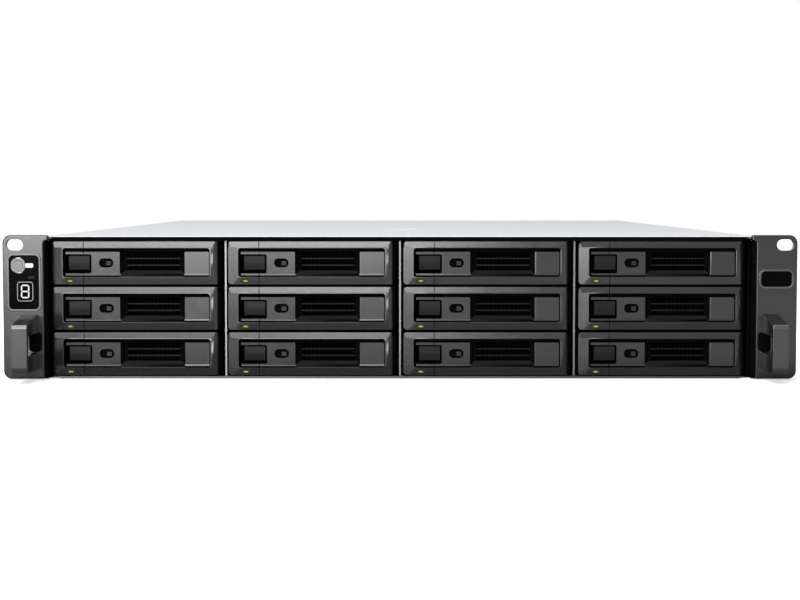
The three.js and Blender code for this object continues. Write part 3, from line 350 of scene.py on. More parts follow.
@dataclass(frozen=True)
class PanSheet(GalvanisedSheet):
    """The same sheet without crystals, with its lip under the trays darkened as painted shade."""

    front: float = -316.0
    lip_shade: float = 0.16

    def ended(self, shader: Shader, colour: Any, **inputs: Any) -> bpy.types.Material:
        """Builds the sheet with another colour on its front end.

        Args:
            shader: The builder of its nodes.
            colour: The front end's colour.
            inputs: The shader's other inputs.

        Returns:
            The material.
        """
        rolled = self.rolled(shader)
        front = shader.axes()[1] < self.front
        return shader.surface(
            Base_Color=shader.mixed(front, self.toned(shader, rolled), colour),
            Roughness=self.roughness + (rolled - 0.5) * 0.1,
            Normal=shader.bumped(rolled, self.mark),
            **inputs,
        )

    def build(self, shader: Shader) -> bpy.types.Material:
        """Builds the sheet with its front lip darkened as painted shade."""
        return self.ended(shader, self.shade(self.lip_shade), Metallic=1.0)


@dataclass(frozen=True)
class CageSheet(PanSheet):
    """Zinc-coated sheet whose front ends are darkened as painted shade in the bays: black, apart from the
    dividers' edges, which stay metal at a darker tone.
    """

    front: float = -250.0
    pitch: float = 106.9
    divider: float = 0.62
    outer: float = 200.0
    edge: float = 0.35
    black: Colour = (0.0015, 0.0016, 0.0018)

    def build(self, shader: Shader) -> bpy.types.Material:
        """Builds the sheet with its front ends darkened as painted shade.

        Args:
            shader: The builder of its nodes.

        Returns:
            The material.
        """
        x, y, _ = shader.axes()
        near = shader.maths("PINGPONG", x, self.pitch / 2) < self.divider
        bare = near * (shader.maths("ABSOLUTE", x) < self.outer)
        metallic = 1.0 - (y < self.front) * (1.0 - bare)
        # Painted shade: the front ends are black, the dividers' edges a darker metal
        dark = shader.mixed(bare, self.black, self.shade(self.edge))
        return self.ended(shader, dark, Metallic=metallic, Specular_IOR_Level=0.0)


@dataclass(frozen=True)
class SatinMetal(Finish):
    """Metal with a fine even grain, painted, plated or brushed."""

    metallic: float = 1.0
    stretch: Place = (0.04, 1.0, 1.0)
    grain: float = 0.5
    cloud: float = 60.0
    depth: float = 0.006
    specular: float = 0.5

    def build(self, shader: Shader) -> bpy.types.Material:
        """Builds the grain and slow changes of tone.

        Args:
            shader: The builder of its nodes.

        Returns:
            The material.
        """
        grain = shader.noise(self.grain, 3.0, self.stretch)
        slow = shader.noise(self.cloud, 2.0)
        share = (grain * 0.5 + slow * 0.5).limited()
        return shader.surface(
            Base_Color=shader.mixed(share, self.shade(0.94), self.shade(1.05)),
            Roughness=self.roughness + (grain - 0.5) * 0.1 + (slow - 0.5) * 0.08,
            Metallic=self.metallic,
            Specular_IOR_Level=self.specular,
            Normal=shader.bumped(grain, self.depth),
        )


@dataclass(frozen=True)
class PolishedPanel(Finish):
    """Polished plastic with faint smears."""

    specular: float = 0.03

    def build(self, shader: Shader) -> bpy.types.Material:
        """Builds smears in the gloss.

        Args:
            shader: The builder of its nodes.

        Returns:
            The material.
        """
        smear = shader.noise(9.0, 4.0, (1.0, 1.0, 0.5))
        return shader.surface(
            Base_Color=shader.mixed(smear.limited(), self.shade(0.8), self.shade(1.2)),
            Roughness=self.roughness + (smear - 0.5) * 0.05,
            Specular_IOR_Level=self.specular,
        )


@dataclass(frozen=True)
class LitPrint(Finish):
    """Print that glows as painted light, or a lens with a light behind it."""

    glow: Colour = (1.0, 1.0, 1.0)
    strength: float = 1.0

    def build(self, shader: Shader) -> bpy.types.Material:
        """Builds a glow that is a little uneven.

        Args:
            shader: The builder of its nodes.

        Returns:
            The material.
        """
        uneven = shader.noise(1.5, 2.0)
        dim = tuple(channel * 0.75 for channel in self.glow)
        return shader.surface(
            Base_Color=(*self.colour, 1.0),
            Roughness=self.roughness,
            Emission_Color=shader.mixed(uneven.limited(), dim, self.glow),
            Emission_Strength=self.strength,
        )


@dataclass(frozen=True)
class CircuitBoard(Finish):
    """Solder mask over copper tracks, with bare pads."""

    block: float = 18.0
    track_pitch: float = 2.4
    track: float = 0.17
    pad_pitch: float = 6.5
    pad: float = 0.11
    gold: Colour = (0.75, 0.55, 0.22)

    def build(self, shader: Shader) -> bpy.types.Material:
        """Builds tracks in blocks that turn from place to place, and pads.

        Args:
            shader: The builder of its nodes.

        Returns:
            The material.
        """
        where = shader.places()
        blocks = shader.node("ShaderNodeTexVoronoi", {"distance": "MANHATTAN"}, Vector=where,
                             Scale=1.0 / (self.block * MM))
        way = shader.out(shader.node("ShaderNodeSeparateColor", Color=shader.out(blocks, "Color")), 1) > 0.5
        x, y, z = shader.axes()
        run = x * way + (y + z) * (1.0 - way)
        track = shader.maths("PINGPONG", run / self.track_pitch, 0.5) < self.track
        pads = shader.node("ShaderNodeTexVoronoi", Vector=where, Scale=1.0 / (self.pad_pitch * MM))
        pad = shader.out(pads, "Distance") < self.pad
        return shader.surface(
            Base_Color=shader.mixed(pad, shader.mixed(track, self.colour, self.shade(2.2)), self.gold),
            Roughness=self.roughness + shader.noise(3.0) * 0.1,
            Metallic=pad,
            Normal=shader.bumped(track + pad, 0.02),
        )


EVEN: Place = (1.0, 1.0, 1.0)
TRAY_PLASTIC = MouldedPlastic("tray_plastic", (0.0085, 0.0092, 0.010), 0.165, specular=0.8,
                              slot="tray_plastic")
EDGE_PLASTIC = MouldedPlastic("edge_plastic", (0.009, 0.0095, 0.010), 0.42, specular=0.2)
EAR_PLASTIC = MouldedPlastic("ear_plastic", (0.008, 0.0088, 0.0092), 0.17, specular=0.85, slot="ear_plastic")
# A lighter, glossier copy of the ear plastic: painted highlight on the panes' rings and the handles' noses
PAINTED_HIGHLIGHT_PLASTIC = MouldedPlastic("ring_plastic", (0.040, 0.042, 0.043), 0.2, specular=1.0, slot="ear_plastic")
# The buttons' plastic, also painted shade on the grille's floor and bars
BUTTON_AND_SCOOP_SHADE_PLASTIC = MouldedPlastic("button_plastic", (0.0075, 0.009, 0.009), 0.4, specular=0.12,
                                slot="button_plastic")
# Black plastic without gloss: painted shade on faces in recesses, gaps and hollows
PAINTED_SHADE_PLASTIC = MouldedPlastic("recess_plastic", (0.0025, 0.0026, 0.0029), 0.6, specular=0.0,
                                slot="black_plastic")
BLACK_PLASTIC = MouldedPlastic("black_plastic", (0.004, 0.0042, 0.0045), 0.45, specular=0.25,
                               slot="black_plastic")
CARRIER_PLASTIC = MouldedPlastic("carrier_plastic", (0.0025, 0.0027, 0.0029), 0.5, specular=0.08,
                                 slot="tray_plastic")
CATCH_PLASTIC = MouldedPlastic("catch_plastic", (0.02, 0.16, 0.07), 0.4, slot="black_plastic")
SILVER_BUTTON = MouldedPlastic("button_silver", (0.22, 0.22, 0.228), 0.45, specular=0.2,
                               slot="button_silver")
HANDLE_CAST = SatinMetal("handle_cast", (0.016, 0.017, 0.0175), 0.18, 0.0, EVEN, specular=0.95,
                         slot="handle_metal")
ZINC: Colour = (0.66, 0.68, 0.70)
STEEL = GalvanisedSheet("galvanised_steel", ZINC, 0.36, slot="galvanised_steel")
PAN_STEEL = PanSheet("pan_steel", ZINC, 0.36)
CAGE_STEEL = CageSheet("cage_steel", ZINC, 0.36)
COVER_PAINT = SatinMetal("cover_paint", (0.62, 0.64, 0.66), 0.48, 0.0, specular=0.28, slot="cover_paint")
SUPPLY_SHEET = SatinMetal("supply_sheet", (0.58, 0.59, 0.60), 0.36, slot="supply_case")
DRIVE_CAST = SatinMetal("drive_cast", (0.42, 0.43, 0.45), 0.42, stretch=EVEN, depth=0.02, slot="supply_case")
SCREW_METAL = SatinMetal("screw_metal", (0.50, 0.51, 0.53), 0.3, stretch=EVEN, slot="galvanised_steel")
GLOSS_BLACK = PolishedPanel("display_gloss", (0.0012, 0.0012, 0.0015), 0.12, slot="display_gloss")
DARK_LAMP = PolishedPanel("dark_lamp", (0.020, 0.017, 0.017), 0.25, slot="display_gloss")
# The digit, the tab, the frame line and the power symbol are print that glows as painted light
WHITE_PRINT = LitPrint("white_print", (0.25, 0.25, 0.25), 0.4, strength=0.6)
GREY_PRINT = LitPrint("grey_print", (0.12, 0.12, 0.12), 0.4, glow=(0.55, 0.55, 0.56), strength=0.4)
PINK_PRINT = LitPrint("symbol_print", (0.13, 0.075, 0.08), 0.4, glow=(0.30, 0.17, 0.19), strength=0.2)
GREEN_LAMP = LitPrint("green_lamp", (0.09, 0.14, 0.01), 0.3, glow=(0.36, 0.55, 0.04), strength=0.8)
LAMP_RIM = LitPrint("lamp_rim", (0.006, 0.009, 0.002), 0.5, glow=(0.02, 0.036, 0.002), strength=0.5)
BOARD_MASK = CircuitBoard("board_mask", (0.010, 0.075, 0.030), 0.35, slot="board_green")


# Forms


def arc(centre: Point, radius: float, start: float, end: float, steps: int = 6) -> list[Point]:
    """Points on an arc, with its angles in degrees."""
    angles = [math.radians(start + (end - start) * step / steps) for step in range(steps + 1)]
    return [(centre[0] + radius * math.cos(a), centre[1] + radius * math.sin(a)) for a in angles]


def bend(start: Point, pull: Point, end: Point, steps: int = 8) -> list[Point]:
    """Points on a curve from start to end that leans towards pull.

    Args:
        start: Where it starts.
        pull: What it leans towards.
        end: Where it ends.
        steps: How many parts it has.

    Returns:
        Its points.
    """
    shares = [step / steps for step in range(steps + 1)]
    return [
        tuple((1 - t) ** 2 * a + 2 * t * (1 - t) * b + t * t * c for a, b, c in zip(start, pull, end))
        for t in shares
    ]


def rounded(u: Span, v: Span, radius: float, steps: int = 6) -> list[Point]:
    """A rectangle's outline with rounded corners.

    Args:
        u: Its reach in one direction.
        v: Its reach in the other.
        radius: The corners' radius.
        steps: Parts of a corner.

    Returns:
        Its points.
    """
    left, right = u[0] + radius, u[1] - radius
    low, high = v[0] + radius, v[1] - radius
    return [
        *arc((right, low), radius, -90, 0, steps),
        *arc((right, high), radius, 0, 90, steps),
        *arc((left, high), radius, 90, 180, steps),
        *arc((left, low), radius, 180, 270, steps),
    ]


def round_outline(centre: Point, radius: float, sides: int = 48) -> list[Point]:
    """A circle's outline."""
    return arc(centre, radius, 0, 360 * (sides - 1) / sides, sides - 1)


def grown(span: Span, room: float) -> Span:
    """A span that is longer by room at both ends."""
    return (span[0] - room, span[1] + room)


def linked(name: str, data: Any) -> bpy.types.Object:
    """A new object in the scene that holds the data.

    Args:
        name: Its name.
        data: Its mesh, lamp or camera.

    Returns:
        The object.
    """
    made = bpy.data.objects.new(name, data)
    bpy.context.scene.collection.objects.link(made)
    return made


def evaluated(mesh: bpy.types.Mesh, *steps: tuple[str, dict[str, Any]]) -> bpy.types.Mesh:
    """A mesh after modifiers have run on it.

    Args:
        mesh: The mesh to start from, which is left as it is.
        steps: Each modifier's type and its settings, with a geometry tree's inputs by their identifiers.

    Returns:
        The new mesh.
    """
    holder = linked("workpiece", mesh)
    for kind, settings in steps:
        step = holder.modifiers.new("step", kind)
        for name, value in settings.items():
            if name.startswith("Socket_"):
                step[name] = value
            else:
                setattr(step, name, value)
    graph = bpy.context.evaluated_depsgraph_get()
    made = bpy.data.meshes.new_from_object(holder.evaluated_get(graph), depsgraph=graph)
    bpy.data.objects.remove(holder)
    return made


class Form:
    """A closed shape in millimetres that is joined, cut and rounded before it becomes a piece."""

    def __init__(self, mesh: bpy.types.Mesh, shaded: bool = False) -> None:
        """Keeps the shape's mesh, and whether its shading is done."""
        self.mesh = mesh
        self.shaded = shaded

    @classmethod
    def _of(cls, shape: bmesh.types.BMesh) -> "Form":
        """Turns a finished bmesh into a form, with its faces outwards.

        Args:
            shape: The bmesh, which is freed.

        Returns:
            The form.
        """
        bmesh.ops.recalc_face_normals(shape, faces=shape.faces)
        mesh = bpy.data.meshes.new("form")
        shape.to_mesh(mesh)
        shape.free()
        return cls(mesh)

    @classmethod
    def drawn(cls, outline: Sequence[Point], axis: Axis, reach: Span) -> "Form":
        """Draws an outline out along an axis.

        Args:
            outline: The outline's points, in the axis's own two directions.
            axis: The axis to draw along.
            reach: Where the form starts and ends on that axis.

        Returns:
            The closed form.
        """
        shape = bmesh.new()

        def corner(point: Point, along: float) -> bmesh.types.BMVert:
            """One corner of the form."""
            place = dict(zip(axis.value, (*point, along)))
            return shape.verts.new([place[number] for number in range(3)])

        ends = [[corner(point, along) for point in outline] for along in reach]
        for end in ends:
            shape.faces.new(end)
        count = len(outline)
        for index in range(count):
            after = (index + 1) % count
            shape.faces.new((ends[0][index], ends[0][after], ends[1][after], ends[1][index]))
        return cls._of(shape)

    @classmethod
    def block(cls, x: Span, y: Span, z: Span) -> "Form":
        """A block between two places on each axis."""
        return cls.drawn([(x[0], y[0]), (x[1], y[0]), (x[1], y[1]), (x[0], y[1])], Axis.Z, z)

    @classmethod
    def tile(cls, depths: Span, x: Span, z: Span, radius: float, steps: int = 6) -> "Form":
        """A block between two depths whose front has rounded corners."""
        return cls.drawn(rounded(x, z, radius, steps), Axis.Y, depths)

    @classmethod
    def rod(cls, axis: Axis, centre: Point, radius: float, reach: Span, sides: int = 48) -> "Form":
        """A round bar."""
        return cls.drawn(round_outline(centre, radius, sides), axis, reach)

    @classmethod
    def turned(cls, profile: Sequence[Point], sides: int = 48) -> "Form":
        """Turns a profile about the Y axis.

        Args:
            profile: Radius and depth of each ring, from the axis at one end to the axis at the other.
            sides: How many steps go round.

        Returns:
            The closed form.
        """
        shape = bmesh.new()
        angles = [2 * math.pi * side / sides for side in range(sides)]
        rings = []
        for radius, depth in profile:
            if radius == 0:
                ring = [shape.verts.new((0, depth, 0))] * sides
            else:
                ring = [shape.verts.new((radius * math.cos(a), depth, radius * math.sin(a))) for a in angles]
            rings.append(ring)
        for near, far in zip(rings, rings[1:]):
            for side in range(sides):
                after = (side + 1) % sides
                corners = dict.fromkeys((near[side], near[after], far[after], far[side]))
                if len(corners) > 2:
                    shape.faces.new(corners)
        return cls._of(shape)

    def _combined(self, operation: str, others: Sequence["Form"]) -> "Form":
        """This form joined with, cut by or kept within others.

        Args:
            operation: The Boolean's operation.
            others: The other forms.

        Returns:
            The new form.
        """
        tools = [linked("tool", other.mesh) for other in others]
        step = {"operation": operation, "solver": "EXACT"}
        made = evaluated(self.mesh, *(("BOOLEAN", {**step, "object": tool}) for tool in tools))
        for tool in tools:
            bpy.data.objects.remove(tool)
        return Form(made)

    def plus(self, *others: "Form") -> "Form":
        """This form joined with others."""
        return self._combined("UNION", others)

    def minus(self, *others: "Form") -> "Form":
        """This form cut by others."""
        return self._combined("DIFFERENCE", others)

    def within(self, *others: "Form") -> "Form":
        """What this form shares with others."""
        return self._combined("INTERSECT", others)

    def beside(self, *others: "Form") -> "Form":
        """This form and others as loose shells of one mesh.

        Args:
            others: The other forms.

        Returns:
            All of them as one form.
        """
        shape = bmesh.new()
        for form in (self, *others):
            shape.from_mesh(form.mesh)
        mesh = bpy.data.meshes.new("form")
        shape.to_mesh(mesh)
        shape.free()
        return Form(mesh)

    def moved(self, x: float = 0.0, y: float = 0.0, z: float = 0.0, turn: Place = (0.0, 0.0, 0.0)) -> "Form":
        """A copy turned about the frame's axes by degrees and then moved.

        Args:
            x: How far to the right.
            y: How far back.
            z: How far up.
            turn: The turn about each axis.

        Returns:
            The copy.
        """
        mesh = self.mesh.copy()
        turned = Euler([math.radians(angle) for angle in turn]).to_matrix().to_4x4()
        mesh.transform(Matrix.Translation((x, y, z)) @ turned)
        return Form(mesh)

    def mirrored(self, wanted: bool = True) -> "Form":
        """A copy seen in a mirror across the YZ plane, if that is wanted.

        Args:
            wanted: Whether it is mirrored at all.

        Returns:
            The copy.
        """
        mesh = self.mesh.copy()
        if wanted:
            mesh.transform(Matrix.Diagonal((-1.0, 1.0, 1.0, 1.0)))
            mesh.flip_normals()
        return Form(mesh)

    def eased(self, width: float, segments: int = 2, limit: float = 32.0) -> "Form":
        """Rounds every edge that is sharper than a limit in degrees.

        Args:
            width: The rounding's width.
            segments: How many faces round it has.
            limit: The sharpest edge that stays.

        Returns:
            The rounded form.
        """
        shape = bmesh.new()
        shape.from_mesh(self.mesh)
        bmesh.ops.remove_doubles(shape, verts=shape.verts, dist=WELD)
        bmesh.ops.dissolve_limit(shape, angle_limit=math.radians(FLAT), verts=shape.verts, edges=shape.edges,
                                 use_dissolve_boundaries=False)
        clean = bpy.data.meshes.new("form")
        shape.to_mesh(clean)
        shape.free()
        settings = {"width": width, "segments": segments, "limit_method": "ANGLE",
                    "angle_limit": math.radians(limit), "miter_outer": "MITER_ARC"}
        return Form(evaluated(clean, ("BEVEL", settings)))

    def painted(self, *tests: Callable[[Vector], bool]) -> "Form":
        """A copy whose faces take the piece's next finish where a test holds for their middle.

        Args:
            tests: Whether a face with this middle takes the next finish.

        Returns:
            The copy.
        """
        mesh = self.mesh.copy()
        mesh.materials.clear()
        for _ in range(len(tests) + 1):
            mesh.materials.append(None)
        for polygon in mesh.polygons:
            chosen = [number for number, test in enumerate(tests, 1) if test(polygon.center)]
            polygon.material_index = chosen[0] if chosen else 0
        return Form(mesh)

    def smooth(self) -> "Form":
        """A copy whose flat faces shade flat and whose rounded edges shade round.

        Returns:
            The copy.
        """
        mesh = self.mesh.copy()
        mesh.shade_smooth()
        mesh.set_sharp_from_angle(angle=math.radians(CREASE))
        return Form(evaluated(mesh, ("WEIGHTED_NORMAL", {"keep_sharp": True, "weight": 100})), True)

    def place(self, name: str, body: str, finish: Finish | Sequence[Finish],
              at: Sequence[float] = (0, 0, 0), *, slot: str = "",
              replaces: Sequence[str] = ()) -> bpy.types.Object:
        """Makes the form a piece in metres that rides on a body.

        Args:
            name: The piece's name.
            body: The body that it rides on.
            finish: Its finish, or the finishes of its painted faces.
            at: Where the form's own origin goes, in metres.
            slot: The record's material slot, where it isn't the finish's own.
            replaces: The nodes that it stands for.

        Returns:
            The piece.
        """
        mesh = (self if self.shaded else self.smooth()).mesh.copy()
        mesh.transform(Matrix.Translation(at) @ Matrix.Diagonal((MM, MM, MM, 1.0)))
        return add_piece(name, mesh, body, finish, slot, replaces)


def add_piece(name: str, mesh: bpy.types.Mesh, body: str, finish: Finish | Sequence[Finish], slot: str,
              replaces: Sequence[str]) -> bpy.types.Object:
    """Adds a mesh in metres to the scene as a piece.

    Args:
        name: The piece's name.
        mesh: Its mesh, in place.
        body: The body that it rides on.
        finish: Its finish, or the finishes of its painted faces.
        slot: The record's material slot, where it isn't the finish's own; not used.
        replaces: The nodes that it stands for.

    Returns:
        The piece.
    """
    mesh.name = name
    finishes = [finish] if isinstance(finish, Finish) else finish
    painted = [min(polygon.material_index, len(finishes) - 1) for polygon in mesh.polygons]
    mesh.materials.clear()
    for each in finishes:
        mesh.materials.append(each.material())
    mesh.polygons.foreach_set("material_index", painted)
    piece = linked(name, mesh)
    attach(piece, body)
    slot = slot or finishes[0].slot
    if replaces:
        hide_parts(*replaces)
    LOG.info("%s rides on %s, %d faces", name, body, len(mesh.polygons))
    return piece


def finish_node(name: str, finish: Finish) -> None:
    """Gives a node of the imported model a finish.

    Args:
        name: The node's name.
        finish: The finish.
    """
    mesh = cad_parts[name].data
    mesh.materials.clear()
    mesh.materials.append(finish.material())


# Patterns


class Pattern(Nodes):
    """A geometry tree with named sizes, which runs once and leaves a plain mesh."""

    def __init__(self, name: str) -> None:
        """Makes a tree that takes points and gives geometry.

        Args:
            name: The tree's name.
        """
        tree = bpy.data.node_groups.new(name, "GeometryNodeTree")
        super().__init__(tree)
        self.identifiers: dict[str, str] = {}
        tree.interface.new_socket("Geometry", in_out="OUTPUT", socket_type="NodeSocketGeometry")
        tree.interface.new_socket("Geometry", in_out="INPUT", socket_type="NodeSocketGeometry")
        self.source = tree.nodes.new("NodeGroupInput")

    def size(self, name: str, kind: str = "Float") -> Signal:
        """A named input of the tree.

        Args:
            name: The input's name.
            kind: The kind of its socket.

        Returns:
            Its signal.
        """
        socket = self.tree.interface.new_socket(name, in_out="INPUT", socket_type="NodeSocket" + kind)
        self.identifiers[name] = socket.identifier
        return Signal(self, self.source.outputs[name])

    def points(self) -> Signal:
        """The geometry that the tree is run on."""
        return Signal(self, self.source.outputs["Geometry"])

    def piece(self) -> Signal:
        """The mesh of the piece that the tree repeats."""
        return self.out(self.node("GeometryNodeObjectInfo", Object=self.size("Piece", "Object")), "Geometry")

    def line(self, count: Signal, **inputs: Any) -> Signal:
        """A line of points, which all lie at 0 unless the inputs say where."""
        return self.out(self.node("GeometryNodeMeshLine", Count=count,
                                  **{"Offset": (0.0, 0.0, 0.0), **inputs}))

    def copies(self, points: Signal, **inputs: Any) -> Signal:
        """The piece on each point, with a turn where the inputs give one."""
        return self.out(self.node("GeometryNodeInstanceOnPoints", Points=points, Instance=self.piece(),
                                  **inputs))

    def index(self) -> Signal:
        """The number of each point."""
        return self.out(self.node("GeometryNodeInputIndex"))

    def close(self, geometry: Signal) -> "Pattern":
        """Ends the tree: copies become real and take the finish.

        Args:
            geometry: What the tree has made.

        Returns:
            The pattern, ready to run.
        """
        real = self.out(self.node("GeometryNodeRealizeInstances", Geometry=geometry))
        painted = self.node("GeometryNodeSetMaterial", Geometry=real,
                            Material=self.size("Finish", "Material"))
        self.node("NodeGroupOutput", Geometry=self.out(painted))
        return self

    def run(self, finish: Finish, start: bpy.types.Mesh | None = None, piece: Form | None = None,
            **sizes: Any) -> Form:
        """Runs the tree.

        Args:
            finish: The finish that the tree sets.
            start: The mesh that the tree is run on, where it needs one.
            piece: The form that it repeats, where it repeats one.
            sizes: Its other inputs by name.

        Returns:
            The result as a form.
        """
        values = {**sizes, "Finish": finish.material()}
        if piece:
            values["Piece"] = linked("repeated", piece.mesh)
        inputs = {self.identifiers[name]: value for name, value in values.items()}
        made = evaluated(start or bpy.data.meshes.new("start"),
                         ("NODES", {"node_group": self.tree, **inputs}))
        if piece:
            bpy.data.objects.remove(values["Piece"])
        return Form(made)


def spot_pattern() -> Pattern:
    """A pattern that sets a piece on each point, turned about its own axis by chance.

    Returns:
        The pattern.
    """
    pattern = Pattern("spots")
    facing, seed = pattern.size("Facing", "Rotation"), pattern.size("Seed", "Int")
    chance = pattern.node("FunctionNodeRandomValue", {"data_type": "FLOAT"}, Min=0.0, Max=math.pi, Seed=seed)
    turn = pattern.node("ShaderNodeCombineXYZ", Z=pattern.out(chance, 1))
    spun = pattern.node("FunctionNodeRotateRotation", {"rotation_space": "LOCAL"}, Rotation=facing,
                        Rotate_By=pattern.out(turn))
    return pattern.close(pattern.copies(pattern.points(), Rotation=pattern.out(spun)))


def row_pattern() -> Pattern:
    """A pattern that repeats a piece in a straight row.

    Returns:
        The pattern.
    """
    pattern = Pattern("row")
    count = pattern.size("Count", "Int")
    first, step = pattern.size("First", "Vector"), pattern.size("Step", "Vector")
    return pattern.close(pattern.copies(pattern.line(count, Start_Location=first, Offset=step)))


def wheel_pattern() -> Pattern:
    """A pattern that repeats a piece round the Y axis.

    Returns:
        The pattern.
    """
    pattern = Pattern("wheel")
    count = pattern.size("Count", "Int")
    turn = pattern.node("ShaderNodeCombineXYZ", Y=pattern.index() / count * (2 * math.pi))
    return pattern.close(pattern.copies(pattern.line(count), Rotation=pattern.out(turn)))


def rings_pattern() -> Pattern:
    """A pattern of wire rings about the Y axis, each further out than the last.

    Returns:
        The pattern.
    """
    pattern = Pattern("rings")
    count = pattern.size("Count", "Int")
    first, step, wire = (pattern.size(name) for name in ("First", "Step", "Wire"))
    circle = pattern.node("GeometryNodeCurvePrimitiveCircle", Resolution=48, Radius=1.0)
    rings = pattern.node("GeometryNodeInstanceOnPoints", Points=pattern.line(count),
                         Instance=pattern.out(circle), Rotation=(math.pi / 2, 0.0, 0.0),
                         Scale=first + pattern.index() * step)
    real = pattern.node("GeometryNodeRealizeInstances", Geometry=pattern.out(rings))
    profile = pattern.node("GeometryNodeCurvePrimitiveCircle", Resolution=8, Radius=wire)
    tubes = pattern.node("GeometryNodeCurveToMesh", Curve=pattern.out(real),
                         Profile_Curve=pattern.out(profile))
    return pattern.close(pattern.out(tubes))


def honeycomb_pattern() -> Pattern:
    """A pattern of six-sided cells whose walls make a perforated sheet in the XZ plane.

    Returns:
        The pattern.
    """
    pattern = Pattern("honeycomb")
    columns, rows = pattern.size("Columns", "Int"), pattern.size("Rows", "Int")
    pitch = pattern.size("Pitch")
    index = pattern.index()
    row = pattern.maths("FLOOR", (index + 0.5) / columns)
    x = (index - row * columns + pattern.maths("MODULO", row, 2.0) * 0.5) * pitch
    place = pattern.node("ShaderNodeCombineXYZ", X=x, Z=row * pitch * (math.sqrt(3) / 2))
    spread = pattern.node("GeometryNodeSetPosition", Geometry=pattern.line(columns * rows),
                          Position=pattern.out(place))
    return pattern.close(pattern.copies(pattern.out(spread)))


@dataclass
class Patterns:
    """The enclosure's repeated shapes."""

    spots: Pattern = field(default_factory=spot_pattern)
    row: Pattern = field(default_factory=row_pattern)
    wheel: Pattern = field(default_factory=wheel_pattern)
    rings: Pattern = field(default_factory=rings_pattern)
    honeycomb: Pattern = field(default_factory=honeycomb_pattern)


class Facing(Enum):
    """The way a screw's head looks, as the turn that takes +Z there."""

    UP = (0.0, 0.0, 0.0)
    LEFT = (0.0, -90.0, 0.0)
    RIGHT = (0.0, 90.0, 0.0)
    BACK = (-90.0, 0.0, 0.0)


@dataclass
class Fasteners:
    """Screw and rivet heads."""

    patterns: Patterns
    radius: float = 2.6
    height: float = 0.55
    slot_width: float = 0.7
    slot_length: float = 2.9
    seed: int = 7

    def screw(self) -> Form:
        """A low countersunk head with a cross recess, whose top is at 0.

        Returns:
            The head.
        """
        profile = [(0, 0), (self.radius * 0.8, 0), (self.radius, 0.25), (self.radius, self.height),
                   (0, self.height)]
        head = Form.turned(profile, 24).moved(turn=(-90, 0, 0))
        arm, half = self.slot_length / 2, self.slot_width / 2
        bars = (Form.block((-arm, arm), (-half, half), (-0.35, 1)),
                Form.block((-half, half), (-arm, arm), (-0.35, 1)))
        return head.minus(*bars)

    def rivet(self) -> Form:
        """A domed head that stands on 0."""
        profile = [(0, 0.5), *arc((0, -1.6), 2.1, 84, 50, 4), (1.35, -0.3), (0, -0.3)]
        return Form.turned(profile, 20).moved(turn=(90, 0, 0))

    def add(self, name: str, body: str, places: Sequence[Place], facing: Facing, head: Form,
            finish: Finish = SCREW_METAL, slot: str = "") -> bpy.types.Object:
        """Sets a head on each place.

        Args:
            name: The piece's name.
            body: The body that it rides on.
            places: Where the heads go, in millimetres.
            facing: The way they look.
            head: The head's form.
            finish: Their finish.
            slot: Their material slot, where it isn't the finish's own.

        Returns:
            The piece, which holds all the heads.
        """
        points = bpy.data.meshes.new("points")
        points.from_pydata(places, [], [])
        turn = Euler([math.radians(angle) for angle in facing.value])
        made = self.patterns.spots.run(finish, points, head, Facing=turn, Seed=self.seed)
        return made.place(name, body, finish, slot=slot)


# Trays


